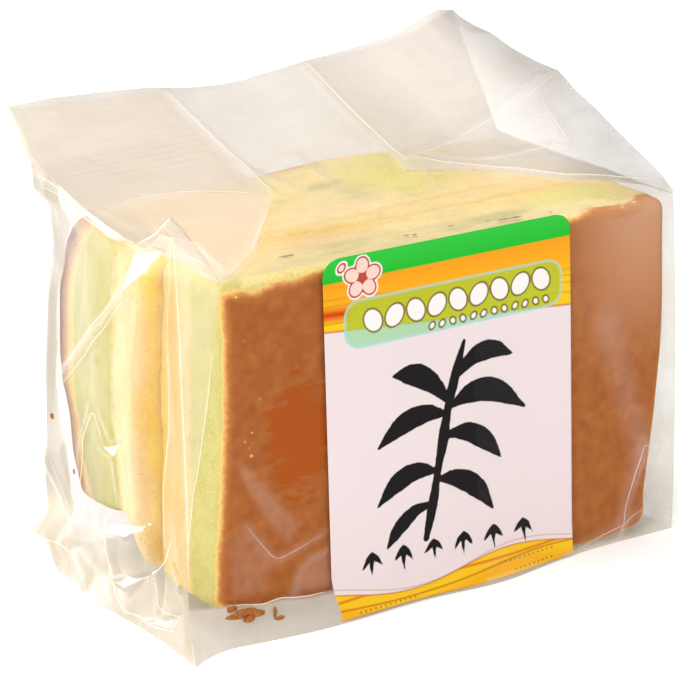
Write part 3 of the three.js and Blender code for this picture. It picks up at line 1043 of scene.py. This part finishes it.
def frontVeil(across, up, place):
    # on the wall, hazier along the loose edge, the tucked foot and the folds; on the tent, hazier
    # towards the seal, with a step along the arc
    x, y, z = xyz(place)
    onTent = smooth(up, 0.995, 1.005)
    lower = smooth(atStops(folds["tuck"], x) - z, -0.5, 0.7)
    veil = (veils["front"] + veils["looseFront"] * smooth(atStops(folds["looseEdge"], z) - x, -0.3, 0.3)
            + veils["aboveBlock"] * smooth(z, 94, 99) + veils["low"] * lower
            + veils["glare"] * smooth(x, 92, 122) * smooth(z, 42, 92))
    for corners, strength in folds["wedges"]:
        veil = veil + strength * smooth(within(x, z, corners), -1.4, 1.2)
    for path, height, width, strength in folds["frontLines"]:
        veil = veil + ridge(x, z, path, strength, width)

    tentVeil = mix(veils["tentFront"], veils["overSeam"], smooth(y, 4, 30))
    # the arc is sharp over the folded-in left end and soft beyond it
    blur = mix(0.8, 13.0, smooth(x, 36, 46))
    tentVeil = mix(tentVeil, veils["tent"], smooth((y - atStops(folds["arc"], x)) / blur, -1, 1))
    tentVeil = tentVeil + (veils["hem"] - veils["tent"]) * smooth(y, 90, 93)
    for path, height, width in folds["tentLines"]:
        tentVeil = tentVeil + ridge(x, y, path, veils["tentLine"], 0.6 * width)
    ear = smooth(4 - x, 0, 6) * smooth(20 - y, 0, 10)
    tentVeil = mix(tentVeil, veils["ear"], ear)
    # lamplight on the tent fades out before its right edge
    tentTone = mix(tones["tent"], tones["rightTent"], smooth(x, 84, 102))
    tentTone = tentTone * (1 - smooth(x - 0.12 * y, 104, 120))
    tone = mix(mix(tones["front"], tones["low"], lower), mix(tentTone, 1.0, ear), onTent)
    return mix(veil, tentVeil, onTent), tone


def leftVeil(share, up, place):
    # clear over the slices, hazier along the folds, beyond the block's rear edge and near the ground
    _, y, z = xyz(place)
    beyond = smooth(y - atStops(folds["beyondRear"], z), -0.8, 0.8)
    pleat = smooth(atStops(folds["pleat"], z) - y, -0.3, 0.3)
    veil = (veils["left"] + veils["overRear"] * smooth(y, 37, 46) * smooth(92 - z, 0, 6)
            + veils["beyondRear"] * beyond + veils["pleat"] * pleat
            - veils["besideSeam"] * smooth(y, 24, 27) * smooth(38 - y, 0, 4)
            + ridge(y, z, folds["leftBand"], veils["band"], 3.6) + veils["leftLow"] * smooth(24 - z, 0, 15))
    for path, height, width in folds["leftLines"]:
        veil = veil + ridge(y, z, path, veils["leftLine"], 1.6)
    for corners, slope, offset in folds["ledges"]:
        veil = mix(veil, veils["ledge"], unit(within(y, z, corners) / 0.7 + 0.5))
    shaded = mix(tones["left"], tones["beyondRear"], beyond * smooth(z, 14, 26))
    return veil + veils["leftTop"] * smooth(z, 90, 97), mix(shaded, tones["toe"], smooth(20 - z, 0, 12))


def rearVeil(across, up, place):
    # one haze on the wall and another on the tent, more at the seal
    onTent = smooth(up, 0.98, 1.02)
    veil = mix(veils["rear"], veils["rearTent"], onTent) + veils["rearHem"] * smooth(up, 1.9, 1.96)
    return veil, mix(tones["rear"], tones["tent"], onTent)


def flatVeil(depth):
    # the same haze all over
    return lambda first, second, place: (np.full(first.shape, depth), tones["rear"])


sheets = {}   # the finished places of each sheet, for the creases that lie on it


def addSheet(name, base, lift, veil, material, ups, count, outward=1):
    # outward is the side of the sheet's normal that faces out of the bag
    second, first = np.meshgrid(ups, np.linspace(0, 1, count), indexing="ij")
    points = onSheet(base, lift, first, second, outward)
    points[..., 2] = np.maximum(points[..., 2], bag["lowest"])
    sheets[name] = points.reshape(-1, 3)
    depth, tone = veil(first, second, points)
    values = dict(veil=depth, tone=tone * np.ones_like(first))
    faces = gridFaces(len(ups), count)[:, ::outward]
    makePiece(name, points, faces, material, "bag", values, merge=0.02)


def alongPath(stops, share):
    # places on a bent line that is given as (share, place) stops
    at = [s[0] for s in stops]
    return np.stack([np.interp(share, at, [s[1][k] for s in stops]) for k in range(3)], -1)


def addGusset(name, side, material):
    # Three ruled sheets between the tent's side edges and the inner fold: a flat triangle over the
    # block's end, then a front and a rear layer that climb to the seal.
    left = side == "left"
    shape = gusset[side]
    fold = np.array(shape["foot"])
    inner = (shape["seal"] - bag["sealLeft"]) / (bag["sealRight"] - bag["sealLeft"])
    sealEnd = np.stack(hem(np.array(inner)), -1) - (0, 0, 0.2)
    joins = gusset["joinsAt"]

    rise = np.linspace(0, 1, gusset["rows"])
    s = np.linspace(0, 1, gusset["columns"])[None, :]
    edgeAt = np.full(gusset["rows"], 0.0 if left else 1.0)
    front, rear = frontTent(edgeAt, rise), rearTent(edgeAt, rise)
    frontCrease = [(0, front[0]), *shape["front"], (1, fold)]
    rearCrease = [(0, rear[0]), *shape["rear"], (1, fold)]

    def climb(crease):
        low = alongPath(crease, unit(rise / joins))
        high = mix(fold, sealEnd, unit((rise - joins) / (1 - joins))[..., None])
        return np.where((rise <= joins)[..., None], low, high)[:, None]

    # the triangle starts along the top of the end's wall and leaves it within an eighth of its length
    f = np.linspace(0, 1, gusset["flatRows"])
    flat = mix(alongPath(frontCrease, f)[:, None], alongPath(rearCrease, f)[:, None], s[..., None])
    top = (leftSheet if left else rightSheet)(s, np.ones_like(s))[0]
    flat = mix(flat, flat - flat[:1] + top, unit(1 - f / 0.12)[:, None, None])
    layers = [flat, mix(front[:, None], climb(frontCrease), s[..., None]),
              mix(rear[:, None], climb(rearCrease), s[..., None])]

    points, faces, depths, lit, start = [], [], [], [], 0
    for k, layer in enumerate(layers):
        isFlat = k == 0
        x, y, _ = xyz(layer)
        between = np.minimum(s, 1 - s)
        room = np.broadcast_to(unit((between if isFlat else s) * 12), x.shape)
        layer[..., 2] += (0.5 * facets(x, y, 22, 30 + k) - 0.25) * unit(between * 8)
        ceiling = tentHeight(x, y) - gusset["gaps"][k] * room
        layer[..., 2] = np.where(room > 0, np.minimum(layer[..., 2], ceiling), layer[..., 2])
        points.append(layer.reshape(-1, 3))
        faces.append(gridFaces(*x.shape, start))
        depths.append(np.full(x.size, veils[shape["flatVeil" if isFlat else "veil"]]))
        lit.append(tones[shape["flatTone" if isFlat else "tone"]] * smooth(122 - x.ravel(), 0, 18))
        start += x.size
    sheets[name] = np.concatenate(points)
    faces = np.concatenate(faces)[:, ::-1 if left else 1]
    values = dict(veil=np.concatenate(depths), tone=np.concatenate(lit))
    makePiece(name, sheets[name], faces, material, "bag", values, merge=0.02)


def addBag():
    step, coarse = bag["step"], bag["coarseStep"]
    width, depth = wallX(1.0) - wallX(0.0), bag["wallRear"]

    def wallUps(size):
        return np.linspace(0, 1, int(bag["wallLength"] / size))

    def bothUps(size):
        return np.concatenate([wallUps(size), 1 + np.linspace(0, 1, int(bag["tentLength"] / size))[1:]])

    plain = filmMaterial("clearFilm", "shaded", "haze")
    # the ends catch the yellow light that the sponge beside them throws back
    warm = filmMaterial("warmFilm", "warmShade", "warmHaze")
    foldedIn = filmMaterial("foldedInFilm", "shaded", "lens")
    addSheet("filmFront", frontSheet, frontLift, frontVeil, plain, bothUps(step), int(width / step))
    addSheet("filmLeftEnd", leftSheet, leftLift, leftVeil, warm, wallUps(step), int(depth / step), -1)
    addSheet("filmRightEnd", rightSheet, plainLift(26, 0.6, 5), flatVeil(veils["right"]), warm,
             wallUps(coarse), int(depth / coarse))
    addSheet("filmRear", rearSheet, plainLift(26, 1.0, 6), rearVeil, plain, bothUps(coarse),
             int(width / coarse), -1)
    addSheet("filmFoot", floorSheet, plainLift(30, 0.0, 1), flatVeil(veils["foot"]), plain,
             np.linspace(0, 1, int(depth / coarse)), int(width / coarse), -1)
    addGusset("filmLeftGusset", "left", foldedIn)
    addGusset("filmRightGusset", "right", plain)
    print("film: front, ends, rear, foot and two gussets")


filmPaint = dict(
    haze=colour(250, 242, 233), shaded=colour(180, 171, 162), lens=colour(255, 241, 218),
    # the crease colour is near white: doubled film at the folds with a painted highlight
    crease=colour(255, 252, 244), warmHaze=colour(249, 238, 216), warmShade=colour(180, 168, 148),
    roughness=0.09, hazyRoughness=0.4, glancing=0.675, faceOn=0.004, most=0.35, nearSide=0.8, lampsPass=0.8,
)


def filmMaterial(name, shaded, lit):
    # clear film: mostly open, a thin warm haze where it is veiled, and a glossy skin
    p = filmPaint
    n = Nodes(name)
    place = n.millimetres()
    veil = n.attribute("veil")
    haze = n.blend(n.attribute("tone"), p[shaded], p[lit])
    cloud = n.range(n.noise(place, 0.06, 3), 0.3, 0.7, 0.85, 1.15)
    # film scatters light forwards, so lamps reach what lies behind it almost undimmed
    kept = 1.0 - n.add("LightPath", output="Is Shadow Ray") * p["lampsPass"]
    share = n.math("MULTIPLY", veil * cloud, kept, clamp=True)
    cloudy = n.add("MixShader", Fac=p["nearSide"], i1=n.add("BsdfTranslucent", Color=haze),
                   i2=n.add("BsdfDiffuse", Color=haze))
    body = n.add("MixShader", Fac=share, i1=n.add("BsdfTransparent"), i2=cloudy)
    # the same gloss from both sides of the sheet: faint face on and strong at a glancing angle
    glance = n.math("POWER", n.add("LayerWeight", output="Facing", Blend=0.5), 4.0)
    strength = n.math("MINIMUM", glance * p["glancing"] + p["faceOn"], p["most"]) * kept
    ripple = n.bump(n.noise(place, 0.2, 3), 0.15, 0.0008)
    gloss = n.add("BsdfAnisotropic", Color=(1, 1, 1, 1), Roughness=veil * p["hazyRoughness"] + p["roughness"],
                  Normal=ripple)
    return n.finish(n.add("MixShader", Fac=strength, i1=body, i2=gloss))


creases = dict(
    radius=0.15, sides=6, spacing=0.7, soften=3, veil=0.62, lowest=0.3,
    # sheet, the two axes that its paths are given in, each path with its thickness
    lines=[
        ("filmLeftEnd", (1, 2), [
            ([(76, 103.6), (62.7, 103), (46.9, 100.9), (19.4, 98.2)], 1.3),
            ([(73, 101.2), (60, 101.4), (45, 99.6), (20.4, 97.2)], 0.8),
            ([(19, 98.6), (9, 103.4), (0.6, 109.6)], 1.3),
            ([(3.7, 76.5), (4.8, 63.8), (7.7, 42.7), (10.7, 21.1)], 0.5),
        ]),
        ("filmFront", (0, 2), [
            ([(-12.6, 109.4), (-12.2, 98), (-11.9, 76), (-11.9, 60), (-12.1, 30), (-12.3, 18)], 0.9),
            ([(-12.4, 107.6), (0, 95.6), (3, 92.3)], 1.2),
            ([(-12.6, 101.4), (-7.6, 99.4), (-5.6, 97.8), (-2.2, 94.6)], 1.1),
            ([(-3.3, 76.1), (-5.9, 61.9), (-10.6, 41.3), (-12.6, 24.2)], 0.6),
        ]),
        ("filmLeftEnd", (1, 2), [
            ([(66, 50.4), (35.3, 73.6), (23.8, 85)], 0.7),
            ([(68, 54), (36.8, 77.2), (24.4, 88.4)], 0.9),
            ([(40, 43), (45, 50), (53, 40), (57.2, 22.1)], 0.7),
            ([(37.6, 21.1), (39.8, 15.3), (38.4, 8.5), (34, 4.6), (27.8, 2.4), (14, 3), (4, 5)], 1.4),
            ([(16.4, 15.6), (14.7, 12.6), (14.3, 7.4), (3, 8.6)], 1.1),
            ([(16.4, 15.6), (8, 24), (5, 29)], 0.8),
            ([(78, 6.2), (66, 7.6), (57.8, 6.1), (50.9, 3.2), (47.5, 0.8)], 1.3),
            ([(60, 12), (68, 21), (76, 28)], 0.7),
        ]),
        ("filmFront", (0, 2), [
            ([(-3, 10.8), (7.6, 8.6), (11.3, 9.5), (18.3, 8.2), (25.5, 8)], 1),
            ([(3.7, 30), (7.9, 24.1), (11.6, 19.1), (18.5, 20.9), (25.4, 23.2)], 0.35),
            ([(126, 21.8), (121.3, 27), (117.1, 14.1), (113.3, 1.1)], 0.6),
            ([(96.8, 0.6), (111.7, 4.5), (124, 9)], 0.5),
        ]),
        ("filmFront", (0, 1), [
            ([(-7, 44.6), (-2, 46.5), (3.9, 48.3), (10.4, 48.5), (18.1, 47.6), (27.7, 44.3),
              (36.2, 39.9)], 0.45),
            ([(37.4, 93), (37.4, 62), (37.5, 40)], 1),
            ([(78.5, 93), (78, 62), (77, 40)], 1),
            ([(78.6, 41.6), (93, 33), (101.7, 24.8), (109.2, 15), (119.4, 7.3), (130.4, 2.4)], 1.1),
            ([(77.7, 41.5), (84.8, 42.6), (101.6, 46), (119.2, 44.2), (129, 46.5)], 0.6),
            ([(119.9, 42.9), (118.3, 33.4), (116.7, 24.4), (109.4, 28.5), (98, 33.6), (87.5, 39.2)], 0.5),
        ]),
    ],
)


def drape(sheet, axes, path):
    # the path, softened and evenly spaced, with its third coordinate from the nearest places of the sheet
    path = np.array(path, float)
    gone = np.concatenate([[0], np.cumsum(np.hypot(*np.diff(path, axis=0).T))])
    count = int(gone[-1] / creases["spacing"]) + 4
    even = np.stack([np.interp(np.linspace(0, gone[-1], count), gone, path[:, k]) for k in (0, 1)], 1)
    soft = creases["soften"]
    padded = np.concatenate([np.repeat(even[:1], soft, 0), even, np.repeat(even[-1:], soft, 0)])
    even = np.mean([padded[k:k + count] for k in range(2 * soft + 1)], axis=0)
    other = 3 - sum(axes)
    points = sheets[sheet]
    if sheet == "filmFront":
        points = points[points[:, 2] > 90] if other == 2 else points[points[:, 1] < 4]
    gap = ((even[:, None] - points[None][..., list(axes)]) ** 2).sum(-1)
    nearest = np.argpartition(gap, 4, axis=1)[:, :4]
    weight = 1 / (np.take_along_axis(gap, nearest, 1) + 0.01)
    line = np.empty((count, 3))
    line[:, list(axes)] = even
    line[:, other] = (points[nearest, other] * weight).sum(1) / weight.sum(1)
    return line


def tube(line, radius):
    # a round profile carried along the line, thinning to a point at both ends
    ahead = np.gradient(line, axis=0)
    ahead /= np.maximum(np.linalg.norm(ahead, axis=1, keepdims=True), 1e-9)
    side = np.cross(ahead, (0.31, 0.27, 0.91))
    side /= np.linalg.norm(side, axis=1, keepdims=True)
    up = np.cross(side, ahead)
    turn = np.linspace(0, 2 * np.pi, creases["sides"], endpoint=False)[None, :, None]
    size = radius * np.sin(np.pi * np.linspace(0, 1, len(line))) ** 0.4
    size[[0, -1]] = 0
    ring = np.cos(turn) * side[:, None] + np.sin(turn) * up[:, None]
    return (line[:, None] + size[:, None, None] * ring).reshape(-1, 3)


def addCreases():
    # fine tubes of folded film, laid on the finished sheets, near white: doubled film that scatters more, and
    # a painted highlight along each fold
    points, faces, start = [], [], 0
    for sheet, axes, paths in creases["lines"]:
        for path, thickness in paths:
            line = drape(sheet, axes, path)
            points.append(tube(line, creases["radius"] * thickness))
            faces.append(gridFaces(len(line), creases["sides"], start, around=True))
            start += len(points[-1])
    points = np.concatenate(points)
    points[:, 2] = np.maximum(points[:, 2], creases["lowest"])
    values = dict(veil=np.full(len(points), creases["veil"]), tone=np.ones(len(points)))
    # a near-white haze on the folds: partly doubled film, partly a painted highlight
    material = filmMaterial("foldedFilmHighlight", "crease", "crease")
    makePiece("filmCreases", points, np.concatenate(faces), material, "bag", values, merge=0.005)
    print("creases:", len(faces), "lines")


label = dict(
    left=27.3, right=99.4, bottom=0.9, top=92.0, cornerRadius=4.6, step=0.45, stand=-0.25, thickness=0.12,
    curl=0.35, curlPace=11.0, distanceTo=3.0,
)


# the print, all of it plain shapes: fields of colour, a brushed sprig, a row of petals and a blossom
labelPrint = dict(
    panel=dict(middle=(64.8, 74.6), half=(32, 6.2), radius=4.4),
    petals=dict(start=(41, 74.8), end=(90.5, 76.2), count=9, size=(3.1, 2.5), turns=(2.1, 0.9), smallFrom=3,
                small=(1.0, 0.8), smallRow=69.9, smallShifts=(-1.6, 1.4)),
    blossom=dict(middle=(38.4, 86), reach=3.1, petal=2.35, core=1.25, bud=(32.6, 89.4), budSize=(1.5, 1.1)),
    # brush strokes: places as (across, height, half width)
    sprig=[
        [(55, 15, 0.9), (57.2, 24, 1.5), (58.6, 31, 1.1), (60.6, 40, 1.6), (62, 47, 1.2),
         (64.6, 56, 1.5), (67.4, 64.5, 0.5)],
        [(62.6, 49, 0.5), (58.2, 54.8, 2.3), (52.4, 58.6, 2.9), (46.2, 59.4, 0.3)],
        [(62, 46.4, 0.5), (55.6, 47.8, 2.4), (48.6, 46.4, 2.7), (41.6, 41.6, 0.3)],
        [(64.4, 55, 0.5), (70, 59.6, 2.2), (75.6, 60.6, 2.5), (81.6, 58.4, 0.3)],
        [(62.6, 48, 0.5), (70, 50.6, 2.8), (77, 49.4, 3), (85.4, 43.6, 0.3)],
        [(61, 41, 0.5), (67.6, 40.6, 2.3), (73, 37.4, 2.5), (78, 31.6, 0.3)],
        [(58.8, 32, 0.5), (52.6, 33.4, 2.3), (46.6, 31.4, 2.5), (41, 26.4, 0.3)],
        [(58.4, 30, 0.5), (65, 28.8, 2.4), (70.6, 25, 2.6), (75.4, 18.4, 0.3)],
        [(57, 24, 0.5), (51.4, 22.8, 1.8), (46.8, 19.2, 1.9), (43.4, 14.8, 0.3)],
    ],
    dabs=dict(start=(39, 12.2), end=(84.5, 11), count=6, size=3),
    dotSize=0.32, dotStep=1.5,
    dots=[(76, 4.2, 12), (80, 1.9, 9), (33, 1.6, 12)],     # start across, height, how many
)


def labelSurface(x, z):
    # flat on the film's front, with a gentle curl that fades towards the top
    curl = label["curl"] * np.sin((x - label["left"]) / label["curlPace"]) * smooth(z, 90, 60)
    return np.stack([x, label["stand"] + frontSwell(x, z) - curl, z], -1)


def strokeDistance(x, z, stroke):
    # distance to a brushed stroke: to its smoothly bent centre line, less the half width where it is nearest
    places = np.array(stroke, float)
    padded = np.concatenate([places[:1], places, places[-1:]])
    share = np.linspace(0, 1, 7)[:, None]
    line = np.concatenate([
        0.5 * (2 * a + (b - before) * share + (2 * before - 5 * a + 4 * b - after) * share**2
               + (3 * a - before - 3 * b + after) * share**3)
        for before, a, b, after in zip(padded, padded[1:], padded[2:], padded[3:])])

    def reach(start, end):
        part, gap = lineShare(x, z, start, end)
        return gap - mix(start[2], end[2], part)

    return np.minimum.reduce([reach(*ends) for ends in zip(line[:-1], line[1:])])


def ovalDistance(x, z, middle, size, turn=0.0):
    # about how far a place lies outside a turned oval: exact for a circle
    across, up = x - middle[0], z - middle[1]
    a = (across * np.cos(turn) + up * np.sin(turn)) / size[0]
    b = (-across * np.sin(turn) + up * np.cos(turn)) / size[1]
    return (np.hypot(a, b) - 1) * min(size)


def row(shape):
    # evenly spaced places between a row's start and its end, each with its number and its share of the way
    for k in range(shape["count"]):
        share = k / (shape["count"] - 1)
        yield k, share, mix(np.array(shape["start"]), np.array(shape["end"]), share)


def printedOvals():
    # (middle, half sizes, turn) of each pale oval: the large row, and two small ones below each from the
    # fourth on
    petals = labelPrint["petals"]
    for k, share, middle in row(petals):
        turn = petals["turns"][k % 2]
        yield middle, petals["size"], turn
        if k >= petals["smallFrom"]:
            for shift in petals["smallShifts"]:
                yield (middle[0] + shift, petals["smallRow"] + 0.8 * share), petals["small"], turn


def blossomOvals():
    # five petals round the middle, and a bud beside them
    flower = labelPrint["blossom"]
    for angle in 0.3 + 2 * np.pi * np.arange(5) / 5:
        middle = np.array(flower["middle"]) + flower["reach"] * np.array([np.cos(angle), np.sin(angle)])
        yield middle, (flower["petal"], flower["petal"] * 0.86), angle
    yield flower["bud"], flower["budSize"], 0.8


def printedStrokes():
    # the sprig's strokes, and dabs of three short strokes that spread downwards
    yield from labelPrint["sprig"]
    dabs = labelPrint["dabs"]
    size = dabs["size"]
    for k, share, (x, z) in row(dabs):
        tips = ((-0.95, -0.5 + 0.15 * (k % 3)), (0.1 * (k % 3 - 1), -1.1), (0.95, -0.35 - 0.2 * (k % 2)))
        for tipX, tipZ in tips:
            yield [(x, z + 0.9 * size, 0.18), (x + 0.42 * tipX * size, z + 0.3 * size, 0.72),
                   (x + tipX * size, z + tipZ * size, 0.08)]


def printDistances(x, z):
    # for each shape of the print, how far a place lies outside its outline, in millimetres
    box, flower, dot = labelPrint["panel"], labelPrint["blossom"], labelPrint["dotSize"]
    radius = box["radius"]
    across = np.abs(x - box["middle"][0]) - box["half"][0] + radius
    up = np.abs(z - box["middle"][1]) - box["half"][1] + radius
    beyond = np.hypot(np.maximum(across, 0), np.maximum(up, 0))
    panel = beyond + np.minimum(np.maximum(across, up), 0) - radius

    def ovals(shapes):
        return np.minimum.reduce([ovalDistance(x, z, *shape) for shape in shapes])

    ink = np.minimum.reduce([strokeDistance(x, z, stroke) for stroke in printedStrokes()])
    bristle = layeredNoise(np.stack([x, z, 0 * x], -1), 1.6, 61)
    dots = [((startX + labelPrint["dotStep"] * k, dotZ), (dot, dot))
            for startX, dotZ, count in labelPrint["dots"] for k in range(count)]
    return dict(panel=panel, petals=ovals(printedOvals()), blossom=ovals(blossomOvals()),
                core=ovals([(flower["middle"], (flower["core"], flower["core"]))]),
                ink=ink + 0.22 * bristle * smooth(ink, -1.2, 0.2), marks=ovals(dots))


def addLabel():
    # a grid of rows and columns whose upper rows draw in along the round corners
    left, right, bottom, top = label["left"], label["right"], label["bottom"], label["top"]
    radius = label["cornerRadius"]
    xs = np.linspace(left, right, int((right - left) / label["step"]))
    zs = np.linspace(bottom, top, int((top - bottom) / label["step"]))
    z, x = np.meshgrid(zs, xs, indexing="ij")
    high = unit((z - (top - radius)) / radius)
    inset = radius * (1 - np.sqrt(unit(1 - high**2)))
    middle, half = (left + right) / 2, (right - left) / 2
    x = middle + (x - middle) * (half - inset) / half
    far = label["distanceTo"]
    values = {key: np.clip(gap, -far, far) for key, gap in printDistances(x, z).items()}
    faces = gridFaces(*z.shape)
    piece = makePiece("printedLabel", labelSurface(x, z), faces, labelMaterial(), "label", values)
    paper = piece.modifiers.new("paper", "SOLIDIFY")
    paper.thickness = label["thickness"] / 1000
    paper.offset = -1
    print("label: one sheet of paper with its print")


labelPaint = dict(
    paper=colour(238, 223, 224), green=colour(30, 190, 46), greenTop=colour(52, 200, 66),
    orange=colour(247, 160, 22), amber=colour(250, 178, 22), yellow=colour(250, 200, 30),
    line=colour(196, 122, 10), red=colour(214, 46, 6), rust=colour(190, 84, 10),
    lime=colour(176, 196, 48), mint=colour(160, 214, 160), rim=colour(160, 220, 226),
    white=colour(250, 244, 240), outline=colour(120, 104, 40), blush=colour(252, 214, 200),
    berry=colour(186, 74, 60), ink=colour(14, 10, 12),
)


def labelMaterial():
    # fields of colour with slanting streaks, under the shapes whose distances the sheet carries
    n = Nodes("labelPrint")
    paint = labelPaint
    place = n.millimetres()
    x, _, z = n.axes(place)

    def line(slope, base, swing, pace, phase=0.0):
        # a slanting, gently swinging height across the label
        return x * slope + base + n.math("SINE", x * pace + phase) * swing

    def streak(body, height, width, shade, strength=1.0):
        near = n.line(n.math("ABSOLUTE", z - height), 0, width, 1, 0)
        return n.blend(near * strength, body, paint[shade])

    # upper band: orange above, yellow below, fine slanting streaks, ending in a thin rusty edge
    bandEdge = line(-0.085, 76.4, 0.0, 0.0)
    band = n.ramp(n.line(z, 68, 86), [
        (0.0, paint["yellow"]), (0.4, paint["yellow"]), (0.62, paint["amber"]), (1.0, paint["orange"])])
    for base, width, strength in ((84.0, 0.5, 0.35), (82.4, 0.3, 0.5), (80.6, 0.4, 0.5), (78.0, 0.3, 0.6)):
        band = streak(band, line(-0.07, base, 0.25, 0.21), width, "line", strength)
    flame = streak(band, line(-0.05, 79.6, 0.0, 0.0), 2.4, "red")
    band = n.blend(n.range(x, 33.5, 35.5, 1.0, 0.0), band, flame)
    body = n.blend(n.line(z - bandEdge, -0.15, 0.15), paint["paper"], band)
    body = streak(body, bandEdge, 0.45, "rust", 0.8)
    green = n.ramp(n.line(z, 86, 92), [(0, paint["green"]), (1, paint["greenTop"])])
    body = n.blend(n.line(z, 85.9, 86.15), body, green)

    # a clear lime panel: lime over the band, mint with a pale rim over the paper
    panel = n.attribute("panel")
    glaze = n.blend(n.line(z - bandEdge, -0.15, 0.15), paint["mint"], paint["lime"])
    glaze = n.blend(n.line(panel, -0.9, -0.2, 0, 0.8), glaze, paint["rim"])
    body = n.blend(n.line(panel, -0.1, 0.1, 0.82, 0), body, glaze)

    def printOn(body, shapes):
        # shape, the distances between which its colour fades out, colour
        for key, low, high, shade in shapes:
            body = n.blend(n.line(n.attribute(key), low, high, 1, 0), body, paint[shade])
        return body

    body = printOn(body, [
        ("petals", 0.1, 0.4, "outline"), ("petals", -0.3, -0.05, "white"), ("blossom", 0.25, 0.5, "white"),
        ("blossom", -0.1, 0.1, "berry"), ("blossom", -0.5, -0.3, "blush"), ("core", -0.2, 0.1, "berry")])

    # lower band: a rolling rusty edge over yellow, with thin streaks
    wave = line(0.004, 5.2, 1.9, 0.101, -0.25)
    under = wave - z
    low = n.ramp(n.line(under, 0, 7), [
        (0.0, paint["yellow"]), (0.3, paint["yellow"]), (0.6, paint["amber"]), (1.0, paint["yellow"])])
    low = streak(low, line(0.03, 1.4, 0.9, 0.09), 0.35, "rust", 0.8)
    low = streak(low, line(0.05, 2.2, 1.0, 0.05), 0.5, "red", 0.75)
    body = n.blend(n.line(under, -0.1, 0.1), body, low)
    body = streak(body, wave, 0.28, "rust", 0.8)
    body = streak(body, line(0.004, 5.9, 2.2, 0.101, -0.5), 0.22, "line", 0.6)
    body = printOn(body, [("marks", -0.1, 0.1, "outline"), ("ink", -0.12, 0.12, "ink")])

    bump = n.bump(n.noise(place, 0.9, 3), 0.04, 0.0004)
    dull = n.range(n.noise(place, 0.2, 2), 0.3, 0.7, 0.34, 0.46)
    return n.solid(body, bump, dull, 0.12)


addCamera()
addStudio()
print("camera, floor and lights are up")
addBlock()
addCrumbs()
addBag()
addCreases()
addLabel()
